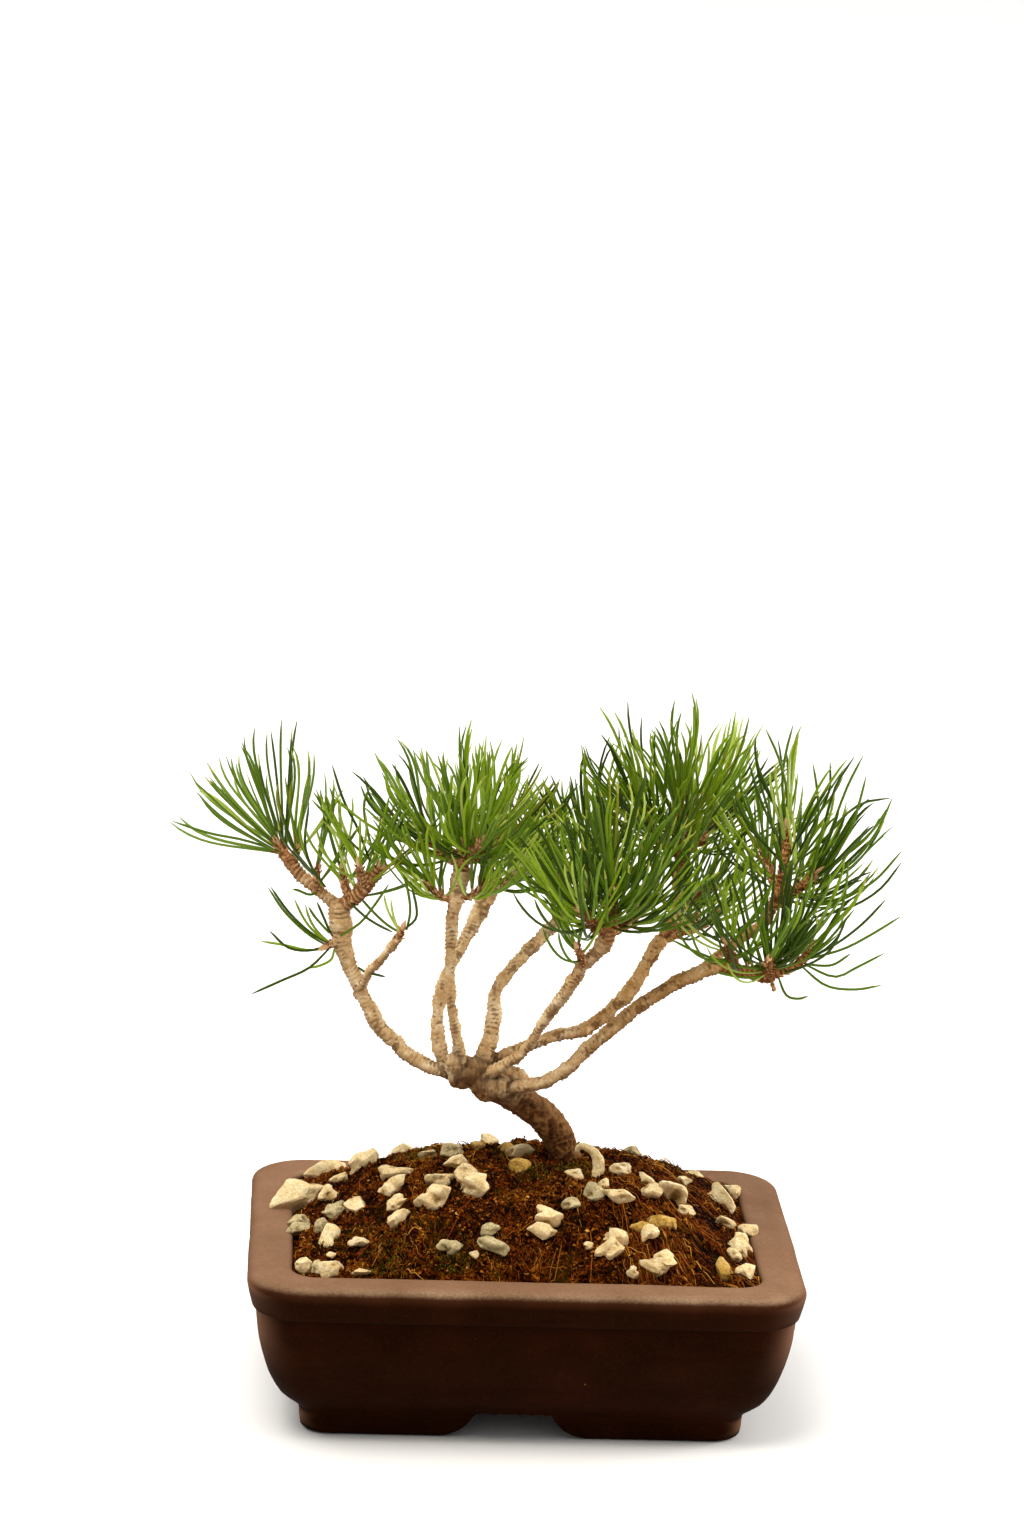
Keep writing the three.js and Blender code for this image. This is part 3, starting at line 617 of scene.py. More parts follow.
# A broad mound with clods on it, level under the trunk and no higher close to it.
def moundHeight(x, y):
    dx, dy = x - soil["peakX"], y - soil["peakY"]
    acrossX = np.abs(dx) / (soil["halfX"] - np.sign(dx) * soil["peakX"])
    acrossY = np.abs(dy) / (soil["halfY"] - np.sign(dy) * soil["peakY"])
    inX = np.maximum(0, 1 - acrossX ** 2.5)
    inY = np.maximum(0, 1 - acrossY ** 2.8)
    clods = np.sin(x * 0.2 + 1.3) * np.cos(y * 0.23 + 0.4) + 0.6 * np.sin(x * 0.13 - y * 0.19)
    rise = soil["rise"] * inX * inY + soil["clodHeight"] * clods * np.minimum(1, 4 * inX * inY)
    aside = np.hypot(x - soil["trunkX"], y - soil["trunkY"]) - soil["padRadius"]
    level = np.clip(aside / soil["padBlend"], 0, 1)
    room = np.clip((aside - soil["padBlend"]) / soil["padRoom"], 0, 1)
    above = soil["edge"] + rise - soil["padHeight"]
    return soil["padHeight"] + above * level * level * (3 - 2 * level) * np.where(above > 0, room, 1)


# The mound with clods: three sizes of lumps, sharpened into ridges and pits.
def soilTop(x, y):
    flat = np.stack([x, y, 0 * x], -1)
    height = moundHeight(x, y) - soil["sunk"]
    for order, (size, depth) in enumerate(soil["clods"]):
        height = height + depth * (0.6 - 1.7 * np.abs(lumps(flat, size, soil["seed"] + order)))
    return height


# The soil as one closed piece: a grid drawn in at its
# corners on top, walls that lean in, and a flat bottom.
def makeSoil():
    countX, countY = int(2 * soil["halfX"] / soil["step"]), int(2 * soil["halfY"] / soil["step"])
    x, y = np.meshgrid(np.linspace(-soil["halfX"], soil["halfX"], countX),
                       np.linspace(-soil["halfY"], soil["halfY"], countY))
    cornerX, cornerY = soil["halfX"] - soil["corner"], soil["halfY"] - soil["corner"]
    beyondX, beyondY = np.maximum(np.abs(x) - cornerX, 0), np.maximum(np.abs(y) - cornerY, 0)
    pull = np.maximum(beyondX, beyondY) / np.maximum(np.hypot(beyondX, beyondY), 1e-6)
    x = np.sign(x) * (np.minimum(np.abs(x), cornerX) + beyondX * pull)
    y = np.sign(y) * (np.minimum(np.abs(y), cornerY) + beyondY * pull)
    top = np.stack([x, y, soilTop(x, y)], -1).reshape(-1, 3)
    index = np.arange(countX * countY).reshape(countY, countX)
    quads = np.stack([index[:-1, :-1], index[:-1, 1:], index[1:, 1:], index[1:, :-1]], -1).reshape(-1, 4)
    rim = np.concatenate([index[0, :-1], index[:-1, -1], index[-1, :0:-1], index[:0:-1, 0]])
    rings = [top]
    walls = []
    upper = rim
    for height, inset in soil["walls"]:
        ring = top[rim] * [1 - inset, 1 - inset, 0] + [0, 0, height]
        lower = len(np.concatenate(rings)) + np.arange(len(rim))
        rings.append(ring)
        walls.append(np.stack([upper, lower, np.roll(lower, -1), np.roll(upper, -1)], 1))
        upper = lower
    points = np.concatenate(rings + [np.array([[0, 0, soil["walls"][-1][0]]])])
    fan = np.stack([upper, np.full(len(rim), len(points) - 1), np.roll(upper, -1)], 1)
    addPiece("soil_ball", points, [np.concatenate([quads, *walls]), fan], [soilFinish()], "soil", ["soil"])


# Random places on the soil, at least the given distance from its edge.
def strewn(i, edge, seed):
    return ((2 * randomAt(i, 1, seed) - 1) * (soil["halfX"] - edge),
            (2 * randomAt(i, 2, seed) - 1) * (soil["halfY"] - edge))


# Which of the tints each one gets: its number against the running sum of the tints' shares. A second random
# number holds it below 0.9 to 0.99, so that the last tint stays rare.
def pickTint(tints, number, chance):
    bounds = np.cumsum([share for _, share in tints.values()])
    return np.searchsorted(bounds, np.clip(number, 0, 0.9 + 0.09 * chance))


fibres = dict(
    short=dict(count=18500, length=(0.9, 3.6), radius=(0.07, 0.15), bend=1.6, lift=0.9, steps=4,
        dragged=False, seed=10),
    long=dict(count=2800, length=(8, 26), radius=(0.12, 0.27), bend=0.34, lift=1.7, steps=8, dragged=True,
        seed=9),
    tints=dict(dark=((18, 5, 0), 0.43), rust=((110, 44, 4), 0.36), brown=((150, 86, 20), 0.17),
        straw=((206, 146, 56), 0.04)), edge=3, keepOff=0.8, dragFrom=30, kept=(0.95, 0.06), fan=0.4)


# Fibres lie on the soil: each starts at a random place and turns a little at
# every step. The long ones lie mostly on the right, dragged away from the
# trunk. Their height is the soil's plus a lift that swells in the middle.
def fibrePaths(rule):
    seed, steps = rule["seed"], rule["steps"]
    i = np.arange(rule["count"])
    x, y = strewn(i, fibres["edge"], seed)
    if rule["dragged"]:
        keep = randomAt(i, 8, seed) < np.where(x > fibres["dragFrom"], *fibres["kept"])
        i, x, y = i[keep], x[keep], y[keep]
    draw = lambda channel: randomAt(i, channel, seed)
    outward = np.arctan2(y - soil["trunkY"], x - soil["trunkX"]) + fibres["fan"] * (draw(3) - 0.5)
    heading = np.where(rule["dragged"] & (x > 10), outward, 2 * np.pi * draw(3))
    turn = (randomAt(i[:, None] * 31 + np.arange(steps), 5, seed) - 0.5) * rule["bend"]
    direction = heading[:, None] + np.cumsum(turn, 1)
    stride = (between(rule["length"], draw(4) ** 1.6) / (steps - 1))[:, None]
    limitX, limitY = soil["halfX"] - fibres["keepOff"], soil["halfY"] - fibres["keepOff"]
    px = np.clip(x[:, None] + np.cumsum(np.cos(direction) * stride, 1), -limitX, limitX)
    py = np.clip(y[:, None] + np.cumsum(np.sin(direction) * stride, 1), -limitY, limitY)
    share = np.linspace(0, 1, steps)
    lift = rule["lift"] * draw(6)[:, None] * np.sin(np.pi * share) + 0.1
    radius = between(rule["radius"], draw(7))[:, None] * (1 - 0.5 * np.abs(2 * share - 1) ** 3)
    return np.stack([px, py, soilTop(px, py) + lift], -1), radius, i


# Fibres of one tint are one piece. The tints gather in patches, and the dragged fibres are lighter.
def makeFibres():
    for length in ("short", "long"):
        rule = fibres[length]
        paths, radius, i = fibrePaths(rule)
        start = paths[:, 0] * [1, 1, 0]
        patch = lumps(start, 9, 31) + 0.7 * lumps(start, 3.2, 32)
        number = randomAt(i, 9, 2) + 0.6 * patch + 0.26 * rule["dragged"]
        pick = pickTint(fibres["tints"], number, randomAt(i, 10, 2))
        for order, (name, (colour, _)) in enumerate(fibres["tints"].items()):
            points, walls, ends = tubes(paths[pick == order], radius[pick == order], 3)
            finish = Finish(f"fibre_{length}_{name}", 0.9, colour, Specular_IOR_Level=0.1)
            addPiece(f"soil_fibres_{length}_{name}", points, [walls, ends], [finish], "soil")


crumbs = dict(
    count=8500, size=(0.3, 0.9), edge=2.5, flat=0.8, seed=13,
    tints=dict(dark=((24, 7, 1), 0.4), brown=((108, 46, 5), 0.4), gold=((150, 90, 24), 0.175),
        straw=((204, 150, 70), 0.025)))


# Crumbs: small uneven lumps of eight faces, each corner
# pulled out by its own amount, turned and laid on the soil.
def makeCrumbs():
    seed = crumbs["seed"]
    i = np.arange(crumbs["count"])
    draw = lambda channel: randomAt(i, channel, seed)
    x, y = strewn(i, crumbs["edge"], seed)
    size = between(crumbs["size"], draw(3) ** 2)
    corners = np.array([(1, 0, 0), (0, 1, 0), (-1, 0, 0), (0, -1, 0), (0, 0, 1), (0, 0, -1)], float)
    faces = np.array([(0, 1, 4), (1, 2, 4), (2, 3, 4), (3, 0, 4), (1, 0, 5), (2, 1, 5), (3, 2, 5), (0, 3, 5)])
    pull = size[:, None] * (0.6 + 0.9 * randomAt(i[:, None] * 6 + np.arange(6), 4, seed))
    points = corners * pull[:, :, None]
    turn = 2 * np.pi * draw(5)[:, None]
    acrossX = points[..., 0] * np.cos(turn) - points[..., 1] * np.sin(turn)
    acrossY = points[..., 0] * np.sin(turn) + points[..., 1] * np.cos(turn)
    height = points[..., 2] * crumbs["flat"] + acrossX * (draw(6)[:, None] - 0.5)
    points = np.stack([acrossX, acrossY, height], -1)
    points = points + np.stack([x, y, soilTop(x, y) + 0.3 * size], 1)[:, None]
    patch = lumps(np.stack([x, y, 0 * x], 1), 7, 33)
    pick = pickTint(crumbs["tints"], draw(7) + 0.5 * patch, draw(8))
    finishes = [Finish(f"crumb_{name}", 0.95, colour, Specular_IOR_Level=0.05)
                for name, (colour, _) in crumbs["tints"].items()]
    every = (faces[None] + 6 * i[:, None, None]).reshape(-1, 3)
    pick = np.repeat(pick, len(faces))
    piece = addPiece("soil_crumbs", points.reshape(-1, 3), [every], finishes, "soil", tints=pick)
    piece.data.shade_flat()


moss = dict(
    count=3600, length=(0.8, 2.0), radius=(0.14, 0.26), steps=3, seed=77,
    patches=[(-4, 12, 9), (2, -8, 10), (-52, -50, 9), (-27, -50, 8), (20, -4, 8), (-40, 20, 9),
        (60, 30, 9), (-20, 40, 12), (35, 42, 10)],
    tints=dict(mossDeep=(0.9, (68, 60, 8)), mossBright=(0.9, (128, 112, 22))))


# Moss: short blades that stand up and lean outward in round patches.
def makeMoss():
    i = np.arange(moss["count"])
    draw = lambda channel: randomAt(i, channel, moss["seed"])
    patch = np.array(moss["patches"], float)[i % len(moss["patches"])]
    angle = 2 * np.pi * draw(1)
    reach = patch[:, 2] * draw(2) ** 0.7
    x = patch[:, 0] + reach * np.cos(angle) + 2 * (draw(3) - 0.5)
    y = np.clip(patch[:, 1] + reach * np.sin(angle), -56, 56)
    length = between(moss["length"], draw(4))
    lean = 2 * np.pi * draw(5)
    share = np.linspace(0, 1, moss["steps"])
    out = (length * (0.3 + 0.6 * draw(6)))[:, None] * share ** 1.5
    paths = np.stack([x[:, None] + np.cos(lean)[:, None] * out, y[:, None] + np.sin(lean)[:, None] * out,
                      soilTop(x, y)[:, None] - 0.3 + length[:, None] * share], -1)
    radius = between(moss["radius"], draw(7))[:, None] * (1.05 - share)
    points, walls, ends = tubes(paths, radius, 3)
    pick = (draw(8) > 0.6).astype(int)
    heap = Heap()
    heap.add(points, (walls, np.repeat(pick, (moss["steps"] - 1) * 3)), (ends, np.tile(pick, 2)))
    heap.piece("moss", finishesOf(moss["tints"], Specular_IOR_Level=0.1), "soil")


# Earth: dark to gold by crumb and clod noise, with hair-like streaks and faint green patches.
def soilFinish():
    earth = Finish("fibrousSoil", 0.95, Specular_IOR_Level=0.0)
    clod = earth.cloud(5, 4, 0.65)
    crumb = earth.cloud(1.0, 4, 0.75)
    hair = earth.cloud(2.4, 3, 0.7, stretch=(0.3, 1.6, 1.0))
    shade = earth.ramp(crumb * 0.6 + clod * 0.4,
                       [(0.39, (4, 0, 0)), (0.48, (30, 9, 1)), (0.57, (100, 46, 7)), (0.67, (202, 130, 38))])
    shade = earth.mix(earth.rise(hair, 0.6, 0.72) * 0.55, shade, (126, 66, 12))
    shade = earth.mix(earth.rise(earth.cloud(14, 2, 0.5), 0.54, 0.64) * 0.6, shade, (46, 36, 4))
    earth.colour(shade)
    earth.bump(crumb, 0.8, 0.8)
    return earth


# stones

# Stones: middle, length and width in plan, and turn in degrees.
# A letter for each gives its tint: cream, yellow or grey.
stones = dict(
    heightShare=0.4, liftShare=0.13, lift=dict(big=0.3, small=0.6), grow=dict(big=1.12, small=1.25),
    lean=0.7, slopeStep=3, lobes=6, lobeRoom=(1.15, 1.15, 0.6), lobeSharp=18, cuts=14, cutSharp=80, bites=4,
    biteWidth=0.075, deepest=0.55, ballCuts=dict(big=3, small=2), firstSeed=dict(big=0, small=100),
    sharpFrom=17,
    big=[(-84, 21, 24, 16, 27), (-74, 53, 16, 6, 5), (-60, 27, 12, 8, 10), (-73, 6, 9, 8, 60),
        (-63, -17, 10, 8, 75), (-73, -32, 9, 8, 130), (-50, -14, 11, 7, 170), (-48, -34, 10, 7, 35),
        (-27, 15, 9, 8, 95), (-32, -12, 11, 7, 15), (-20, -21, 12, 10, 110), (-35, -28, 14, 9, 165),
        (-29, -47, 9, 7, 20), (-13, -49, 11, 7, 175), (26, -2, 11, 7, 125), (34, -26, 11, 7, 5),
        (54, -13, 15, 13, 40), (7, -38, 10, 8, 30), (32, -43, 10, 8, 150), (50, -34, 10, 6, 10),
        (46, -52, 10, 6, 160), (76, 13, 13, 8, 140), (86, 0, 10, 8, 25), (82, -20, 8, 9, 80),
        (72, -49, 8, 8, 45), (70, 54, 10, 7, 170)],
    small=[(-69, 18, 6, 4, 10), (-71, -14, 8, 5, 20), (-84, -4, 7, 6, 0), (-84, -11, 7, 6, 50),
        (-76, -21, 6, 5, 90), (-62, -41, 7, 4, 0), (-48, -24, 7, 4, 30), (-48, 2, 11, 4, 165),
        (-82, -49, 6, 6, 30), (-77, -52, 4, 6, 0), (-72, -54, 8, 5, 15), (-72, -46, 3, 3, 0),
        (-61, -56, 6, 3, 0), (-22, -10, 7, 8, 100), (-2, -7, 7, 6, 0), (-1, 11, 10, 3, 20),
        (-17, 12, 5, 4, 0), (-36, 17, 6, 3, 0), (-14, -44, 6, 4, 0), (-20, -51, 3, 3, 0),
        (36, -3, 7, 4, 0), (29, -17, 5, 4, 60), (25, -25, 7, 6, 0), (16, -32, 6, 5, 0), (5, -43, 9, 6, 0),
        (41, -39, 6, 4, 0), (45, -42, 7, 6, 30), (22, -47, 3, 3, 0), (50, -50, 7, 7, 0),
        (38, -55, 4, 4, 0), (82, 42, 6, 8, 80), (77, -37, 5, 5, 0), (80, -48, 6, 7, 0),
        (76, -10, 3, 7, 100), (79, -28, 7, 8, 60), (46, -8, 6, 6, 0), (47, -18, 7, 6, 0),
        (60, -19, 6, 5, 30), (-12, 38, 8, 6, 30), (20, 47, 9, 7, 100), (44, 36, 8, 6, 60),
        (-44, 44, 10, 7, 0), (-30, 52, 6, 5, 40), (62, 16, 5, 4, 0), (2, 52, 7, 5, 20),
        (-26, -2, 8, 6, 30), (-6, 14, 6, 4, 0), (30, -48, 8, 8, 70), (18, -14, 6, 3, 0)],
    letters=dict(big="ccccccccgcccggcccccyccccyc",
        small="cggggccccgccccycycgcccggcyccccccccccccccgcccccycc"),
    tints=dict(creamStone=((190, 152, 100), (234, 208, 154), (252, 240, 204), (140, 102, 48)),
        ochreStone=((136, 96, 34), (194, 152, 72), (230, 202, 132), (92, 58, 18)),
        greyStone=((136, 116, 76), (190, 172, 128), (226, 210, 166), (104, 78, 38))), hookStone=14,
    hookRadii=[0.8, 1.3, 1.6, 2.1, 2.4, 1.7], hookSteps=24, hookSides=12, hookFlat=0.7,
    hook=[(19.3, -1, 93.5), (20.3, -1.5, 96.4), (24, -3, 96), (27.2, -4.5, 92.5), (27.4, -6, 89),
        (26.3, -8, 86)])


# Unit directions and triangles of a ball: twenty faces, each cut in four
# as often as asked, so that the middle of each edge becomes a corner.
def ballOfFaces(cuts):
    golden = (1 + 5 ** 0.5) / 2
    corners = [(-1, golden, 0), (1, golden, 0), (-1, -golden, 0), (1, -golden, 0), (0, -1, golden),
               (0, 1, golden), (0, -1, -golden), (0, 1, -golden), (golden, 0, -1), (golden, 0, 1),
               (-golden, 0, -1), (-golden, 0, 1)]
    points = unit(np.array(corners, float))
    faces = np.array([(0, 11, 5), (0, 5, 1), (0, 1, 7), (0, 7, 10), (0, 10, 11), (1, 5, 9), (5, 11, 4),
                      (11, 10, 2), (10, 7, 6), (7, 1, 8), (3, 9, 4), (3, 4, 2), (3, 2, 6), (3, 6, 8),
                      (3, 8, 9), (4, 9, 5), (2, 4, 11), (6, 2, 10), (8, 6, 7), (9, 8, 1)])
    for _ in range(cuts):
        edges = np.sort(np.concatenate([faces[:, [0, 1]], faces[:, [1, 2]], faces[:, [2, 0]]]), axis=1)
        unique, which = np.unique(edges, axis=0, return_inverse=True)
        middle = which.reshape(3, -1) + len(points)
        points = np.vstack([points, unit(points[unique].mean(1))])
        a, b, c = faces.T
        ab, bc, ca = middle
        quarters = (a, ab, ca), (b, bc, ab), (c, ca, bc), (ab, bc, ca)
        faces = np.concatenate([np.stack(quarter, 1) for quarter in quarters])
    return points, faces


# Distance to the surface in each direction: the outermost of several lobes, cut flat by planes, bitten into
# from a few sides and roughened. Also how hollow each place is, from -1 on a ridge to 1 in a hollow.
def stoneShape(directions, seed):
    draw = lambda index, channel: randomAt(index, channel, seed)
    place = lambda index, channels: np.stack([draw(index, k) - 0.5 for k in channels], 1)
    lobe, plane, notch = (np.arange(stones[name]) for name in ("lobes", "cuts", "bites"))
    centres = place(lobe, (1, 2, 3)) * stones["lobeRoom"]
    sizes = 0.34 + 0.3 * draw(lobe, 4)
    toward = directions @ centres.T
    under = np.maximum(sizes ** 2 - (centres ** 2).sum(1) + toward ** 2, 0)
    sharp = stones["lobeSharp"]
    reach = np.log(np.exp(sharp * np.maximum(toward + np.sqrt(under), 0.3)).sum(1)) / sharp
    facing = unit(place(plane, (5, 6, 7)))
    depth = 0.31 + 0.36 * draw(plane, 8)
    slant = directions @ facing.T
    cut = np.where(slant > 0.05, depth / np.maximum(slant, 0.05), 9)
    sharp = stones["cutSharp"]
    reach = -np.log(np.exp(-sharp * reach) + np.exp(-sharp * cut).sum(1)) / sharp
    bite = unit(place(notch, (9, 10, 11)) * [1, 1, 0.5])
    bitten = np.exp((directions @ bite.T - 1) / stones["biteWidth"]) * (0.16 + 0.36 * draw(notch, 12))
    bitten = bitten.sum(1)
    points = directions * (reach * (1 - np.minimum(bitten, stones["deepest"])))[:, None]
    rough = 0.03 * lumps(points + seed, 0.4, 3) + 0.05 * lumps(points + seed, 0.15, 4)
    hollow = np.clip(bitten * 1.6 - rough * 4, -1, 1)
    points = points * (1 + rough)[:, None]
    low, high = points.min(0), points.max(0)
    return (points - (low + high) / 2) / ((high - low) / 2), hollow


# The hook: a flattened tube along its path, roughened by lumps.
def hookShape():
    steps, sides = stones["hookSteps"], stones["hookSides"]
    hook = smoothPath(stones["hook"], steps)
    radii = along(stones["hookRadii"], np.linspace(0, 1, steps))
    points, walls, ends = tubes(hook[None], radii[None], sides, stones["hookFlat"])
    points = points + unit(points - np.repeat(hook, sides, 0)) * 0.4 * lumps(points, 1.6, 9)[:, None]
    return points, (walls, 0), (ends, 0)


# A stone stretched to its length, width and height, turned, tilted with the slope and let into the soil.
def laidStone(shape, row, kind):
    x, y, long, wide, turn = row
    high = stones["heightShare"] * (long + wide)
    shape = shape * np.array([long, wide, high]) * (stones["grow"][kind] / 2)
    cosine, sine = math.cos(math.radians(turn)), math.sin(math.radians(turn))
    shape = shape @ np.array([[cosine, sine, 0], [-sine, cosine, 0], [0, 0, 1]])
    step, lean = stones["slopeStep"], stones["lean"]
    around = np.array([(0, 0), (step, 0), (-step, 0), (0, step), (0, -step)], float)
    height = moundHeight(x + around[:, 0], y + around[:, 1])
    upright = Vector(((height[2] - height[1]) * lean, (height[4] - height[3]) * lean, 2 * step))
    tilt = np.array(Vector((0, 0, 1)).rotation_difference(upright).to_matrix())
    return shape @ tilt.T + [x, y, height[0] + high * stones["liftShare"] + stones["lift"][kind]]


# Big stones, one of them the hook, and small ones: a piece for each
# kind. It carries how hollow each place is, and how much it looks down, which the finish turns into painted
# shade.
def makeStones():
    tints = [stoneFinish(name, *colours) for name, colours in stones["tints"].items()]
    names = [f"stone_{n + 1:02d}" for n in range(len(stones["big"]))]
    for kind, nodes in (("big", names), ("small", ())):
        ball, triangles = ballOfFaces(stones["ballCuts"][kind])
        heap = Heap()
        hollows = []
        for order, (row, letter) in enumerate(zip(stones[kind], stones["letters"][kind])):
            if kind == "big" and order == stones["hookStone"]:
                points, *faces = hookShape()
                hollow = np.zeros(len(points))
            else:
                shape, hollow = stoneShape(ball, order + stones["firstSeed"][kind])
                points, faces = laidStone(shape, row, kind), [(triangles, "cyg".index(letter))]
            heap.add(points, *faces)
            hollows.append(hollow)
        piece = heap.piece(f"stones_{kind}", tints, "stone", nodes)
        piece.data.set_sharp_from_angle(angle=math.radians(stones["sharpFrom"]))
        mark(piece, "hollow", np.concatenate(hollows))
        mark(piece, "under", np.clip(0.5 - 0.5 * normalsOf(piece)[:, 2], 0, 1))


# Stone: from dark to pale by patches and grain, stained in patches, with painted shade in the hollows and
# underneath.
def stoneFinish(name, dark, mid, pale, stain):
    finish = Finish(name, 0.92, Specular_IOR_Level=0.1)
    hollow = finish.own("hollow")
    patch = finish.cloud(4, 3, 0.6)
    grain = finish.cloud(0.8, 3, 0.7)
    # The hollows are darkened as painted shade.
    shade = finish.ramp(patch * 0.4 + grain * 0.5 + 0.05 - hollow * 0.09,
                        [(0.34, dark), (0.5, mid), (0.64, pale)])
    # Stain in patches, and more of it in the hollows as painted shade.
    stainAndHollowShade = finish.rise(hollow * 0.5 + patch, 0.56, 0.9)
    # Painted shade: darker toward the undersides.
    shade = finish.mix(finish.rise(finish.own("under") + patch * 0.4, 0.48, 0.9) * 0.7, shade, dark)
    finish.colour(finish.mix(stainAndHollowShade * 0.8, shade, stain))
    finish.bump(grain + patch * 0.4, 0.9, 0.7)
    return finish


# trunk, boughs and the stems of the shoots

# Limbs: radii from foot to tip, age of the bark from 0 to 1, and path.
limbs = dict(
    trunk=([5.9, 5.5, 5.7, 5.8, 5.6, 5.9, 6.2, 5.6, 4.4], (1, 1, 1, 0.97, 0.9, 0.86, 0.8), [
        (17, 9, 84), (15, 9, 90), (12.6, 9, 97), (7.6, 9, 103.4), (1, 9, 108.5), (-6, 9, 113.2),
        (-13, 9, 118), (-20, 8, 121.5), (-26, 8, 123.5)]),
    bough_far_left_lower=([3.0, 2.7, 2.6, 2.6], 0.45, [
        (-26, 8, 121), (-32.6, 7, 122.2), (-39.3, 6, 125), (-46.1, 5, 129.4), (-52.3, 4, 135.6)]),
    bough_far_left_upper=([2.6, 2.6, 2.6, 2.7, 2.9, 3.5, 4.0, 3.6], 0.4, [
        (-52.3, 4, 135.6), (-57.5, 3, 142), (-61, 3, 148.2), (-64.2, 2, 155.3), (-67.5, 1, 162.9),
        (-70.6, 0, 171), (-72, -1, 179), (-72.4, -2, 188)]),
    bough_far_left_tip=([2.3, 2.1, 2.2, 2.6], 0.15, [
        (-74, -2, 188), (-83, 2, 194), (-89, 5, 199), (-92, 6, 203)]),
    twig_far_left=([1.5, 1.35, 1.3, 1.8], 0.3, [
        (-64, 0, 155.5), (-61, -5, 163), (-58, -9, 168), (-53, -15, 176), (-51, -18, 180)]),
    bough_left_back=([3.0, 2.5, 2.2, 2.1, 2.1, 2.4, 3.4, 3.6], 0.45, [
        (-27, 9, 121), (-32, 12, 126), (-34, 14, 133), (-34, 17, 143), (-33, 19, 151), (-27, 23, 164),
        (-21, 27, 175), (-17, 29, 185), (-17, 31, 192)]),
    bough_left_front=([2.6, 2, 1.8, 1.8, 1.9, 2, 3, 3.4], 0.35, [
        (-23.5, 5, 121), (-26, 3, 131), (-27.6, 1, 139), (-30, -2, 152), (-31, -4, 163), (-31, -6, 173),
        (-31, -9, 187), (-30, -10, 195), (-28, -12, 206)]),
    bough_centre_back=([3.8, 3.2, 2.5, 2.2, 2.3, 2.5, 2.7], 0.45, [
        (-18, 9, 120), (-16, 11, 128), (-14, 13, 134), (-13, 16, 142), (-13, 18, 148), (-11, 20, 153),
        (-1, 25, 164), (11, 31, 175), (16, 33, 179)]),
    bough_centre_front=([2.4, 1.9, 1.8, 1.9, 2.1, 2.4, 2.3, 2.9], 0.4, [
        (-17, 5, 119), (-13, 2, 124), (-8, -1, 128), (-2, -4, 134), (5, -11, 149), (14, -19, 166),
        (17, -22, 173), (22, -25, 179), (25, -28, 185)]),
    bough_right_back=([2.4, 2.1, 2.2, 2.3, 2.4, 2.5, 2.7], 0.64, [
        (-19, 10, 120.5), (-12, 12, 125.5), (-5, 11.5, 129.2), (3, 12, 132.2), (11, 14, 135), (20, 16, 136),
        (27, 18, 140), (39, 21, 152), (47, 23, 167), (50, 24, 171)]),
    bough_right_back_tip=([2.2, 1.9, 1.8, 2.1], 0.35, [
        (50, 24, 171), (53, 25, 177), (55, 26, 182), (55, 27, 191), (56, 28, 199)]),
    bough_right_front=([2.9, 2.3, 2.5, 2.5, 2.5, 2.6, 2.5], 0.64, [
        (-9, 4, 116), (0, -2, 120), (7, -4, 122.6), (12, -5, 126), (25, -8, 140), (38, -10, 153),
        (54, -12, 165), (62, -13, 169), (69, -14, 172)]),
    bough_right_front_rise=([2, 1.8, 1.7, 1.9], 0.35, [
        (63, -13, 170), (69, -9, 175), (78, -5, 181), (86, -7, 188)]),
)

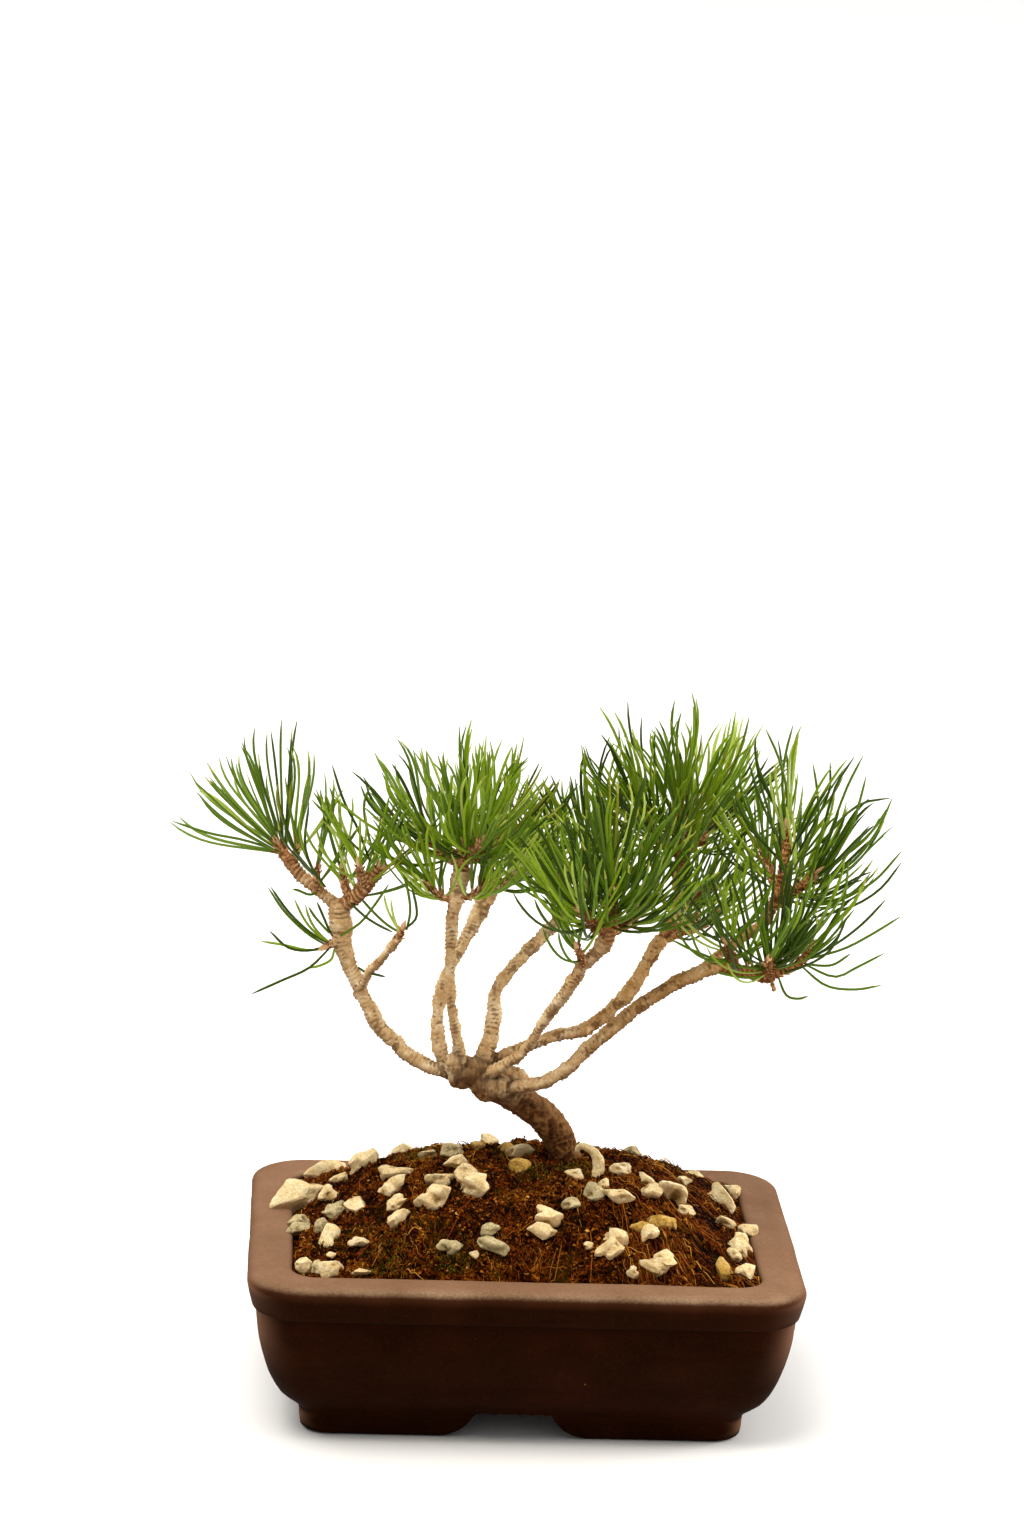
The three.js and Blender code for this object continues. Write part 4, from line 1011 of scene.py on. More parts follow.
# Shoots of each mass by the source: path, radius, number of needles, their
# length, the angle that they open to, and the turn of the first one.
shootKeys = ("path", "radius", "needles", "length", "wide", "start")
masses = dict(
    needles_far_left=[
        ([(-91, 6, 201), (-93.4, 7, 204.2), (-96, 8, 208)], 2.2, 42, 48, 40),
        ([(-91, 6, 201), (-89.5, 5, 204), (-89, 4, 208)], 1.5, 12, 40, 24)],
    needles_left_inner=[
        ([(-72, -2, 187), (-66, -6, 193), (-61, -8, 200), (-58, -9, 205)], 2.9, 20, 36, 46),
        ([(-69, -5, 192), (-71, -4, 196), (-72, -5, 202)], 1.6, 12, 38, 44),
        ([(-64, -7, 196), (-65, -10, 201), (-66, -13, 206)], 1.6, 12, 37, 52)],
    needles_far_left_base=[
        ([(-80, 1, 192), (-81, -2, 196), (-81, -4, 202)], 1.4, 14, 38, 30)],
    needles_left_twig=[
        ([(-51.6, -17, 179), (-50.4, -19, 182), (-49.6, -20, 184.5)], 1.4, 10, 30, 44, 100)],
    needles_left_spur=[
        ([(-73, -1, 173), (-75, -4, 173.5), (-77, -6, 173)], 1.7, 14, 30, 66)],
    needles_left_front=[
        ([(-29, -12, 205), (-28, -12, 210), (-28, -12, 216)], 2.8, 40, 45, 74),
        ([(-29, -12, 207), (-35, -9, 210), (-40, -7, 215)], 1.7, 26, 44, 70),
        ([(-29, -12, 207), (-24, -16, 213), (-22, -19, 218)], 1.7, 22, 40, 66),
        ([(-30, -10, 193), (-36, -13, 195), (-40, -15, 200)], 1.2, 20, 34, 56),
        ([(-30, -10, 194), (-24, -14, 196), (-20, -17, 201)], 1.2, 18, 33, 56)],
    needles_left_back=[
        ([(-17, 30, 191), (-17, 31, 197), (-16, 32, 203)], 2.8, 34, 44, 72),
        ([(-17, 31, 193), (-14, 36, 200), (-13, 39, 205)], 1.6, 20, 41, 66),
        ([(-17, 30, 187), (-11, 27, 189), (-7, 25, 194)], 1.2, 20, 35, 54)],
    needles_centre_back=[
        ([(15, 33, 178), (20, 32, 188), (22, 31, 200)], 2.4, 44, 46, 70),
        ([(17, 33, 182), (12, 38, 186), (9, 43, 191)], 1.6, 24, 42, 68)],
    needles_centre_front=[
        ([(25, -27, 184), (26, -30, 193), (26, -31, 203)], 2.6, 52, 46, 76),
        ([(25, -28, 187), (19, -35, 192), (14, -40, 199)], 1.7, 28, 42, 70),
        ([(25, -28, 187), (33, -24, 190), (38, -21, 196)], 1.7, 26, 42, 66)],
    needles_centre_spur=[
        ([(17, -22, 172), (16, -27, 177), (14, -30, 182)], 1.5, 12, 35, 56)],
    needles_top=[
        ([(56, 28, 198), (56, 28, 208), (55, 27, 220)], 2.4, 44, 44, 70),
        ([(56, 28, 202), (47, 21, 210), (41, 16, 219)], 1.7, 30, 48, 58),
        ([(56, 28, 202), (63, 38, 206), (68, 45, 212)], 1.7, 28, 47, 60)],
    needles_right_fork=[
        ([(50, 24, 170), (58, 30, 173), (63, 33, 178)], 1.8, 20, 40, 66),
        ([(57, 29, 172), (67, 38, 173), (73, 42, 177)], 1.6, 20, 38, 64),
        ([(51, 24, 172), (54, 18, 178), (56, 15, 184)], 1.6, 28, 40, 60),
        ([(55, 26, 183), (60, 22, 187), (65, 20, 192)], 1.4, 24, 38, 60)],
    needles_right_low=[
        ([(68, -14, 172), (77, -18, 171), (86, -22, 170.5), (88, -23, 178)], 2.4, 42, 46, 58),
        ([(86, -22, 171), (92, -24, 174), (97, -26, 178), (100, -26, 183)], 1.8, 12, 38, 40),
        ([(74, -16, 172), (71, -20, 179), (69, -25, 184)], 1.6, 24, 42, 64),
        ([(86, -22, 171), (85, -28, 175), (84, -35, 181)], 1.6, 20, 38, 50)],
    needles_right_high=[
        ([(85, -7, 187), (90, -4, 201), (92, 0, 215), (92, 1, 221)], 2, 40, 39, 70),
        ([(89, -6, 197), (97, -11, 202), (102, -14, 208)], 1.6, 28, 38, 62),
        ([(89, -5, 199), (87, 6, 203), (85, 14, 208)], 1.6, 26, 38, 64),
        ([(88, -7, 193), (97, 4, 196), (105, 12, 201)], 1.6, 24, 38, 66)],
)
masses = {name: [dict(zip(shootKeys, row)) for row in rows] for name, rows in masses.items()}

# Single needles that leave the tufts by themselves, as paths.
loose = dict(
    needles_far_left=[
        [(-94, 6, 205), (-108, 7, 209), (-122, 9, 211), (-135, 9, 215)]],
    needles_far_left_base=[
        [(-81, -2, 192), (-84, -4, 192), (-88, -6, 194), (-90, -8, 195)],
        [(-79, -3, 195), (-84, -5, 204), (-88, -6, 216), (-87, -7, 230)],
        [(-80, -3, 196), (-86, -5, 208), (-91, -6, 221), (-94, -7, 237)],
        [(-81, -3, 198), (-87, -4, 204), (-92, -4, 214), (-96, -4, 227)],
        [(-78, -4, 195), (-83, -8, 203), (-86, -10, 212), (-85, -12, 229)],
        [(-81, -4, 203), (-80, -7, 211), (-79, -8, 219), (-81, -9, 233)],
        [(-76, -6, 178), (-79, -9, 182), (-82, -11, 186), (-84, -14, 190)],
        [(-75, -6, 177), (-77, -10, 182), (-79, -12, 187), (-81, -14, 192)]],
    needles_left_spur=[
        [(-77, -5, 174), (-84, -7, 179), (-92, -8, 187), (-98, -10, 196)],
        [(-77, -5, 173), (-84, -6, 177.5), (-93, -6, 186), (-99, -7, 195)],
        [(-77, -6, 173), (-83, -9, 172), (-91, -13, 174), (-98, -16, 181)],
        [(-77, -6, 172), (-84, -5, 171), (-92, -3, 172), (-101, -2, 173)],
        [(-76, -6, 172), (-83, -11, 166), (-93, -15, 162), (-104, -20, 158)],
        [(-74, -6, 172), (-75, -3, 167), (-79, -1, 164), (-83, 2, 162)]],
    needles_left_inner=[
        [(-72, -6, 177), (-65, -9, 183), (-60, -13, 191), (-55, -16, 200)],
        [(-70, -6, 191), (-63, -11, 186), (-58, -15, 184), (-53, -20, 183)],
        [(-66, -6, 193), (-61, -8, 188), (-55, -10, 183), (-49, -12, 180)],
        [(-65, -2, 164), (-62, -5, 163), (-59, -7, 163), (-55, -10, 163)],
        [(-62, -7, 206), (-67, -9, 219), (-72.6, -10, 230), (-77, -11, 243)],
        [(-60, -8, 207), (-63, -10, 217), (-65, -12, 229), (-63, -13, 236)],
        [(-61, -8, 206), (-69, -11, 214), (-76, -13, 222), (-84, -16, 231)]],
    needles_left_twig=[
        [(-49, -20, 184), (-45, -23, 189), (-45, -27, 195), (-47, -30, 203)],
        [(-48, -20, 184), (-47, -21, 191), (-48, -23, 199), (-50, -24, 206)]],
    needles_right_low=[
        [(89, -24, 171), (92, -27, 165), (96, -31, 165), (99, -34, 167)],
        [(85, -23, 173), (79, -26, 199), (75, -30, 220)],
        [(86, -24, 173), (82.5, -28, 198), (80.5, -33, 217)],
        [(86, -24, 174), (84.5, -29, 200), (84.6, -32, 219)],
        [(87, -24, 173), (87, -29, 198), (88.7, -34, 217)],
        [(87, -24, 173), (90, -28, 196), (93.3, -32, 215)],
        [(88, -24, 173), (93.8, -27, 194), (98.2, -30, 211)],
        [(84, -23, 173), (76, -28, 194), (71, -32, 213)],
        [(79, -21, 176), (74, -29, 196), (67, -34, 215)],
        [(97, -26, 176), (106, -30, 170), (116, -34, 170), (125, -38, 173)],
        [(98, -27, 177), (110, -25, 172), (118, -22, 175), (128, -20, 180)],
        [(98, -26, 177), (103, -28, 177), (108, -30, 178), (114, -32, 183)],
        [(99, -27, 179), (112, -29, 184), (122, -32, 191), (131, -34, 198)],
        [(100, -26, 179), (110, -25, 185), (119, -23, 192), (127, -22, 201)],
        [(98, -26, 180), (105, -29, 189), (110, -31, 201), (111, -34, 218)],
        [(89, -24, 172), (98, -29, 177), (106, -33, 184), (111, -38, 198)],
        [(86, -22, 171), (77, -26, 171), (70, -30, 173), (65, -34, 175)],
        [(85, -22, 173), (72, -27, 176), (57, -31, 182), (47, -36, 188)]],
    needles_top=[
        [(60, 28, 222), (68, 27, 236), (72, 26, 249), (73.2, 26, 259)],
        [(62, 28, 220), (72, 25, 235), (76, 24, 247), (78.2, 24, 257.5)]],
    needles_right_high=[
        [(92, 1, 220), (91, 2, 236), (87.3, 2, 248), (82.2, 2, 258.2)],
        [(101, -10, 209), (105, -9, 228), (108, -10, 241), (113.6, -12, 252)],
        [(103, -10, 209), (109, -6, 228), (113, -5, 240), (117.6, -6, 251)],
        [(104, -13, 208), (113, -16, 225), (116, -17, 237), (117.6, -18, 246.4)],
        [(97, 2, 212), (103, 2, 225), (107, 2, 236), (106.8, 3, 246.3)],
        [(97, -4, 210), (102.7, -3, 226), (101.7, -4, 237), (99.5, -5, 247.3)],
        [(92, 1, 221), (89.6, 4, 237), (90.3, 4, 249), (92.4, 4, 259.6)],
        [(102, -14, 193), (112, -16, 199), (123, -18, 207), (132, -20, 219)],
        [(101, -14, 191), (116, -14, 196), (126, -14, 203), (133, -14, 213)],
        [(101, -10, 202), (114, -12, 211), (123, -14, 224), (128, -16, 238)],
        [(100, -10, 208), (108, -8, 224), (118, -6, 233), (129, -4, 235)]],
)

# Dead ends of old shoots.
stubs = dict(
    underRight=([1.3, 0.9, 0.8], 0.3, [(86, -22, 171), (87, -22, 168), (88, -22, 165)]),
    frontThorn=([0.8, 0.5, 0.3], 0.3, [(14, -6, 128), (13.5, -7, 130.2), (13, -8, 131.4)]),
)

# Bark: knobs are balls at the fork with their middle, size and
# age, and upper names the boughs that are meshed with the shoots.
bark = dict(
    voxel=0.42, sides=18, spacing=1.5, smoothing=5, stemTaper=(1, 0.9, 0.66), reachGroup=6000, blend=1.7,
    knobs=[(-26.7, 3, 120.2, 3.1, 0.95), (-24.3, 4, 119.4, 3.2, 1.0), (-15.5, 4, 114.4, 3.5, 1.0),
        (-12.4, 4.5, 114.4, 3.5, 1.0), (-17.6, 5, 117.2, 4.0, 0.95), (-21.9, 5, 122.2, 4.6, 1.0),
        (-12.6, 3.5, 117, 4.1, 0.75), (-9.2, 3, 117.4, 4.5, 0.6), (-6.6, 5.5, 117.4, 4.9, 0.6),
        (-4.5, 9, 118, 5.5, 0.65), (-28.3, 3, 127.2, 3.0, 0.35), (-27.6, 3.5, 124, 3.3, 0.45)],
    upper=("bough_far_left_upper", "bough_far_left_tip", "twig_far_left", "bough_right_back_tip",
        "bough_right_front_rise"), knobWeight=4, ringSpacing=1.8, ringPeak=0.75, ringDepth=0.76,
    bumpSpacing=2.2, bumpsAround=5, bumpDepth=0.8, knuckleDepth=0.5, crackDepth=0.34)

# Columns of a limb's samples.
column = dict(
    place=slice(0, 3), ahead=slice(3, 6), side=slice(6, 9), over=slice(9, 12), far=12, radius=13, age=14,
    limb=15)


# Every limb and stem as points every 1.5 mm, with its
# direction, its frame, how far along, how thick and how old.
def limbSamples():
    rows = []
    stems = [([shoot["radius"] * share for share in bark["stemTaper"]], 0.0, shoot["path"])
             for shoots in masses.values() for shoot in shoots]
    for order, (radii, age, path) in enumerate([*limbs.values(), *stubs.values(), *stems]):
        count = max(4, int(pathLength(smoothPath(path, 60)) / bark["spacing"]))
        points = smoothPath(path, count)
        ahead = unit(np.gradient(points, axis=0))
        side = unit(np.cross(np.broadcast_to(ringLean, ahead.shape), ahead))
        share = np.linspace(0, 1, count)
        far = np.linspace(0, pathLength(points), count) + 37.3 * order
        rows.append(np.column_stack([points, ahead, side, np.cross(ahead, side), far, along(radii, share),
                                     along(np.atleast_1d(age), share), np.full(count, order)]))
    return rows


# The nearest limb to each point: the smallest distance to a sample less the
# radius there, in groups of points, and if asked for, the same distance to
# the nearest of the other limbs, and the age blended from all that are near.
def nearestSample(points, samples, crease=False):
    found = np.zeros(len(points), int)
    clear, second, age = (np.zeros(len(points)) for _ in range(3))
    places = samples[:, column["place"]]
    for start in range(0, len(points), bark["reachGroup"]):
        part = slice(start, start + bark["reachGroup"])
        near = points[part]
        squares = (near ** 2).sum(1)[:, None] + (places ** 2).sum(1) - 2 * near @ places.T
        reach = np.sqrt(np.maximum(squares, 0)) - samples[:, column["radius"]]
        found[part] = reach.argmin(1)
        clear[part] = reach.min(1)
        if crease:
            own = samples[found[part], column["limb"]][:, None] == samples[:, column["limb"]]
            second[part] = np.where(own, 99, reach).min(1)
            weight = np.exp((clear[part, None] - reach) / bark["blend"])
            age[part] = weight @ samples[:, column["age"]] / weight.sum(1)
    return found, clear, second, age


# One tube along a path, closed at both ends, in the first finish.
def closedTube(path, radius):
    points, walls, ends = tubes(path[None], radius[None], bark["sides"])
    return points, (walls, 0), (ends, 0)


# Tubes along the limbs, stubs and stems, and balls at the fork, fused into one skin and softened: a piece
# for the trunk with the older boughs, and one for the shoots.
def makeBark(rows):
    finish = barkFinish()
    names = list(limbs)
    upper = [names.index(name) for name in bark["upper"]] + list(range(len(limbs), len(rows)))
    lower = [n for n in range(len(limbs)) if n not in upper]
    for name, chosen in (("bark_trunk", lower), ("bark_shoots", upper)):
        heap = Heap()
        for row in (rows[n] for n in chosen):
            fine = smoothPath(row[:, :3], max(6, len(row) * 2))
            heap.add(*closedTube(fine, along(row[:, column["radius"]], np.linspace(0, 1, len(fine)))))
        if name == "bark_trunk":
            swell = np.linspace(-0.98, 0.98, 12)
            for x, y, z, size, _ in bark["knobs"]:
                line = np.stack([x + size * swell, y + 0 * swell, z + 0 * swell], 1)
                heap.add(*closedTube(line, size * np.sqrt(1 - swell ** 2)))
        piece = heap.piece(name, [finish], "bark", [names[n] for n in chosen if n < len(names)])
        remesh = piece.modifiers.new("fuse", "REMESH")
        remesh.mode = "VOXEL"
        remesh.voxel_size = bark["voxel"] * mm
        soften = piece.modifiers.new("soften", "SMOOTH")
        soften.iterations = bark["smoothing"]
        keepShape(piece, finish)
        samples = np.concatenate([rows[n] for n in chosen])
        if name == "bark_trunk":
            own = [(x, y, z, 1, 0, 0, 0, 1, 0, 0, 0, 1, 50 * n, size, age, 0)
                   for n, (x, y, z, size, age) in enumerate(bark["knobs"] * bark["knobWeight"])]
            samples = np.concatenate([samples, own])
        roughenBark(piece, samples)


# Relief by the way round and along the nearest limb: rings that rise slowly
# and drop fast, bumps in staggered cells and crumbs on young wood, plates
# parted by cracks on old wood. The surface moves out along its normals by it.
def roughenBark(piece, samples):
    points, normals = pointsOf(piece), normalsOf(piece)
    found, _, second, age = nearestSample(points, samples, True)
    near = samples[found]
    ahead, side, over = (near[:, column[name]] for name in ("ahead", "side", "over"))
    offset = points - near[:, column["place"]]
    forward = (offset * ahead).sum(1)
    offset = offset - ahead * forward[:, None]
    angle = np.arctan2((offset * over).sum(1), (offset * side).sum(1))
    far = near[:, column["far"]] + forward
    wound = lambda step, width: np.stack([far / step, np.cos(angle) * width, np.sin(angle) * width], 1)
    wander = lumps(wound(5, 1.1), 1, 5)
    ring = fraction(far / bark["ringSpacing"] + 0.55 * wander)
    ring = np.minimum(ring / bark["ringPeak"], (1 - ring) / (1 - bark["ringPeak"])) - 0.5
    ring = ring * (0.55 + 0.7 * np.clip(0.5 + lumps(np.stack([far, angle, 0 * far], 1), 4, 8), 0, 1))
    row = np.floor(far / bark["bumpSpacing"])
    around = fraction(angle / (2 * np.pi) + 1) * bark["bumpsAround"] + row * 0.618
    chance = randomAt(row * 7 + np.floor(around), 2, 4)
    local = 1.5 * (fraction(far / bark["bumpSpacing"]) - 0.5) ** 2 + 0.5 * (fraction(around) - 0.5) ** 2
    bumps = np.exp(-local / 0.03) * (chance > 0.58)
    plates = 1 - np.abs(lumps(points * [1, 1, 0.8], 1.9, 9)) * 2
    crumbs = lumps(points, 1.1, 12)
    young = 1 - age
    knuckles = lumps(wound(3.4, 0.9), 1, 15) * 4 * age * young
    relief = (bark["ringDepth"] * ring * (0.25 + 0.75 * young)
              + bark["bumpDepth"] * bumps * (0.3 + 0.6 * young)
              + bark["crackDepth"] * plates * age + 0.26 * crumbs * (0.5 + age) + 0.3 * wander
              + bark["knuckleDepth"] * knuckles)
    movePoints(piece, points + normals * relief[:, None])
    mark(piece, "relief", np.clip(0.5 + relief * 0.8, 0, 1))
    mark(piece, "scar", bumps * (0.4 + 0.6 * young))
    mark(piece, "age", age)
    # Crease and under are read by the finish for painted shade in the creases and underneath, and a painted
    # highlight on top.
    crease = np.exp(-np.maximum(second, 0) / 1.5)
    mark(piece, "crease", crease if "trunk" in piece.name else 0 * crease)
    mark(piece, "under", np.clip(0.5 - 0.5 * normals[:, 2], 0, 1))


# Bark: pale with scars on boughs and darker brown in the hollows of the relief as painted shade, dark and
# cracked on old wood, tan on shoots. Painted shade underneath and in the creases, a painted highlight on the
# upper sides of old wood, and painted shade that makes the right a little darker.
def barkFinish():
    finish = Finish("pineBark", 0.85, Specular_IOR_Level=0.1)
    relief, age = finish.own("relief"), finish.own("age")
    patch = finish.cloud(6, 4, 0.6)
    grain = finish.cloud(1.0, 3, 0.7)
    pale = finish.ramp(patch * 0.5 + grain * 0.35 + 0.075,
                       [(0.3, (144, 104, 62)), (0.5, (211, 174, 124)), (0.63, (248, 226, 188))])
    # Painted shade: darker brown in the hollows of the relief, the ring grooves among them.
    pale = finish.mix(finish.rise(relief, 0.5, 0.26) * 0.66, pale, (108, 70, 38))
    pale = finish.mix(finish.rise(finish.own("scar"), 0.3, 0.7) * 0.5, pale, (98, 60, 32))
    old = finish.ramp(relief * 0.3 + patch * 0.3 + grain * 0.4,
                      [(0.34, (31, 13, 3)), (0.5, (82, 46, 18)), (0.64, (134, 94, 52))])
    shoot = finish.ramp(relief * 0.5 + grain * 0.5,
                        [(0.3, (104, 64, 34)), (0.55, (168, 118, 72)), (0.75, (214, 172, 124))])
    shade = finish.mix(finish.rise(age, 0.5, 0.95), pale, old)
    shade = finish.mix(finish.rise(age, 0.25, 0.05), shade, shoot)
    shade = finish.mix(finish.rise(grain, 0.6, 0.75) * 0.5, shade, (84, 50, 26))
    under = finish.own("under")
    # Painted shade: darker brown on the faces that look down.
    shade = finish.mix(finish.rise(under, 0.44, 0.9) * 0.72, shade, (78, 44, 22))
    # Painted highlight: paler on the upper sides of older wood.
    shade = finish.mix(finish.rise(under, 0.4, 0.1) * finish.rise(age, 0.5, 0.9) * 0.4, shade, (158, 118, 76))
    # Painted shade in the creases where limbs meet.
    shade = finish.mix(finish.own("crease") * 0.8, shade, (46, 24, 10))
    # Painted shade: a little darker and warmer toward the right.
    shade = finish.mix(finish.rise(finish.position("X"), 0, 0.05), shade, (232, 218, 194), "MULTIPLY")
    finish.colour(shade)
    finish.bump(grain, 0.5, 0.4)
    return finish


# needles

# Needles: pairs are their share of the number in the
# source. Marks are the limits between the first six tints.
needles = dict(
    curl=dict(needles_far_left=0.3, needles_left_inner=0.6, needles_far_left_base=0.5,
        needles_left_twig=0.6),
    pairs=dict(needles_far_left=0.4, needles_left_inner=0.42, needles_far_left_base=0.3,
        needles_left_twig=0.1, needles_left_spur=0.07, needles_left_front=0.78, needles_left_back=0.75,
        needles_centre_back=0.9, needles_centre_front=0.85, needles_centre_spur=0.5, needles_top=0.94,
        needles_right_fork=0.42, needles_right_low=0.47, needles_right_high=0.5), half=0.565, flat=0.62,
    sides=5, stations=11, pathSteps=61, golden=137.508, spread=5.5, crownDepth=73.5, crownFoot=67.4,
    clearance=0.5, facing=0.74, droop=5, sheath=0.1, sheathRadius=0.66,
    sheathProfile=(0.9, 1.05, 0.9, 0.55), scales=24, scaleTurn=2.39996, scaleLength=1.8, scaleRadius=0.5,
    scaleProfile=(1, 0.8, 0.2),
    marks=dict(cool=(0.1, 0.34, 0.6, 0.82, 0.95), sunny=(0.16, 0.44, 0.78, 0.86, 0.95),
        even=(0.28, 0.62, 0.86, 0.91, 0.96)),
    tints=dict(needleDeep=(0.42, (50, 72, 2)), needleGreen=(0.4, (80, 108, 6)),
        needleFresh=(0.4, (121, 148, 22)), needleCool=(0.42, (106, 132, 40)),
        needlePale=(0.45, (168, 186, 84)), needleOlive=(0.5, (118, 122, 22)),
        needleFoot=(0.5, (104, 78, 24)), needleTip=(0.5, (144, 150, 54))),
    shine=dict(Specular_IOR_Level=0.16, Specular_Tint=(1, 1, 0.7, 1)),
    dryTints=dict(scaleBrown=(0.85, (122, 70, 34)), scaleTan=(0.85, (176, 128, 82)),
        scalePink=(0.8, (208, 164, 120))))
tintNumber = {name: number for number, name in enumerate(needles["tints"])}
endTints = [tintNumber["needleFoot"], tintNumber["needleTip"]]


# Points of cubic curves at t: corners weighed by (1 - t)^3, 3 t (1 - t)^2, 3 t^2 (1 - t) and t^3.
def bezier(a, b, c, d, t):
    return (a[:, None] * (1 - t) ** 3 + 3 * b[:, None] * t * (1 - t) ** 2
            + 3 * c[:, None] * t ** 2 * (1 - t) + d[:, None] * t ** 3)


# Pairs of needles of one shoot by the source's rule: a golden-angle spiral opens from the tip down to the
# foot. Each needle leaves along its heading or a little lower, rises on its way, and ends turned up: a
# cubic curve from its root past a knee and an elbow to its tip. The two of a pair part by a few degrees.
def needlePairs(shoot, count, curl, seed):
    i = np.arange(count)
    draw = lambda channel: randomAt(i, channel, seed)
    share = (i + 0.5) / count
    fine = smoothPath(shoot["path"], needles["pathSteps"])
    axis = unit(fine[-1] - pointsAlong(fine, 0.7))
    side = unit(np.array([axis[2], 0, -axis[0]]))
    front = np.cross(side, axis)
    turn = np.radians(shoot.get("start", 0) + i * needles["golden"] + 60 * (draw(1) - 0.5))
    tilt = np.radians(shoot["wide"] * (1 - share) ** 0.8 + 7 + 26 * (draw(2) - 0.5))
    root = pointsAlong(fine, 0.28 + 0.7 * share)
    t = np.linspace(0, 1, needles["stations"])[None, :, None]
    low = np.linspace(0.01, needles["sheath"], len(needles["sheathProfile"]))[None, :, None]
    lift = lambda amount: np.outer(amount, [0, 0, 1])
    curves, feet = [], []
    for twin in (0, 1):
        part = np.radians(needles["spread"]) * (draw(10 + twin) + 0.2) * (1 if twin else -1)
        around, away = turn + part * 2.2, tilt + part * (draw(12) - 0.5)
        length = shoot["length"] * (0.8 + 0.26 * draw(3)) * (1 - 0.12 * twin * draw(13))
        heading = (axis * np.cos(away)[:, None] + side * (np.cos(around) * np.sin(away))[:, None]
                   + front * (np.sin(around) * np.sin(away))[:, None])
        across = unit(np.cross(heading, [0.3, 1, 0.2]))
        over = np.cross(across, heading)
        own = 0.3 * (draw(14 + twin) - 0.5)
        sway = across * (draw(16) - 0.5 + own)[:, None] + over * (draw(17) - 0.5 - own)[:, None]
        flatness = np.clip(0.95 - heading[:, 2], 0, 1.3)
        toward = unit(heading + lift(0.05 + curl * flatness * (0.3 + 0.6 * draw(4))))
        tip = root + toward * (length * (1 - 0.06 * flatness))[:, None]
        leaving = unit(heading - lift(0.2 * curl * flatness * draw(18)) + sway * 0.25)
        ending = unit(toward + lift(0.08 + 1.0 * curl * flatness * (0.2 + 0.8 * draw(19))) + sway)
        knee = root + leaving * (length * 0.4)[:, None]
        elbow = tip - ending * (length * 0.34)[:, None]
        curves.append(bezier(root, knee, elbow, tip, t))
        feet.append(bezier(root, knee, elbow, tip, low))
    return np.stack(curves), (feet[0] + feet[1]) / 2


# Dry scales round a stem: short tapered chips that lean
# outward, on a golden-angle spiral from its foot to its tip.
def stemScales(shoot, seed):
    count = int(needles["scales"] * pathLength(np.array(shoot["path"], float)) / 10)
    i = np.arange(count)
    share = 0.12 + 0.86 * (i + 0.5) / count
    fine = smoothPath(shoot["path"], needles["pathSteps"])
    axis = unit(pointsAlong(fine, share + 0.02) - pointsAlong(fine, share - 0.02))
    side = unit(np.cross(axis, ringLean))
    turn = i * needles["scaleTurn"] + randomAt(i, 40, seed)
    out = side * np.cos(turn)[:, None] + np.cross(axis, side) * np.sin(turn)[:, None]
    radius = shoot["radius"] * (1 - 0.38 * share)
    start = pointsAlong(fine, share) + out * (radius * 0.8)[:, None]
    heading = unit(axis + out * (0.25 + 0.6 * randomAt(i, 41, seed))[:, None])
    length = needles["scaleLength"] * (0.6 + 0.8 * randomAt(i, 42, seed))
    paths = start[:, None] + heading[:, None] * (length[:, None] * np.linspace(0, 1, 3))[:, :, None]
    return paths, np.broadcast_to(needles["scaleRadius"] * np.array(needles["scaleProfile"]), paths.shape[:2])


# Winter bud at the tip of a shoot: a spindle of scales.
def shootBud(shoot, seed):
    fine = smoothPath(shoot["path"], needles["pathSteps"])
    axis = unit(fine[-1] - fine[-8])
    long = 3.6 + 2.6 * randomAt(np.array([seed]), 50, 3)[0]
    t = np.linspace(0, 1, 9)
    path = fine[-1] - axis * 0.6 + axis * (t * long)[:, None]
    radius = shoot["radius"] * 0.62 * (1 - t ** 2.4 * 0.92)
    return path[None], (radius * (0.75 + 0.5 * np.sin(np.pi * t)))[None]


# Needles that are kept: clear of the limbs, within the crown's depth
# and foot, not pointing straight at the viewer and not drooping far.
def keptNeedles(curves, shoot, limbRows):
    outer = curves[:, :, needles["stations"] // 4:]
    clear = nearestSample(outer.reshape(-1, 3), limbRows)[1].reshape(outer.shape[:3]).min(2)
    lowest = curves[..., 2].min(2)
    return (clear > needles["clearance"]) & (np.abs(curves[..., 1]).max(2) < needles["crownDepth"]) \
        & (lowest > needles["crownFoot"]) \
        & (curves[:, :, -1, 1] - curves[:, :, 0, 1] > -needles["facing"] * shoot["length"]) \
        & (curves[:, :, 0, 2] - lowest < needles["droop"])


# Blades of one side of the pairs: flattened tubes with a tint for each
# pair, a lighter stripe on most as a painted highlight, a brown foot and some yellow tips.
def addBlades(heap, curves, keep, twin, marks, paintedHighlightStripe, profile, seed):
    i = np.arange(len(keep))
    draw = lambda channel: randomAt(i, channel, seed)[keep]
    curve = curves[keep]
    lean = unit(np.stack([draw(21 + twin) - 0.5, np.full(len(curve), 0.6), draw(23) - 0.3], 1))[:, None]
    width = profile * (0.8 + 0.36 * draw(25 + twin))[:, None]
    points, walls, ends = tubes(curve, width, needles["sides"], needles["flat"], lean)
    pairTint = np.searchsorted(marks, draw(20))
    tint = np.tile(pairTint[:, None, None], (1, needles["stations"] - 1, needles["sides"]))
    # Painted highlight: a lighter tint on one side face along the middle of the blade.
    tint[draw(27 + twin) > 0.35, 2:-1, 1] = paintedHighlightStripe
    tint[:, 0] = endTints[0]
    tint[draw(28 + twin) > 0.8, -1] = endTints[1]
    heap.add(points, (walls, tint.ravel()), (ends, np.repeat(endTints, len(curve))))


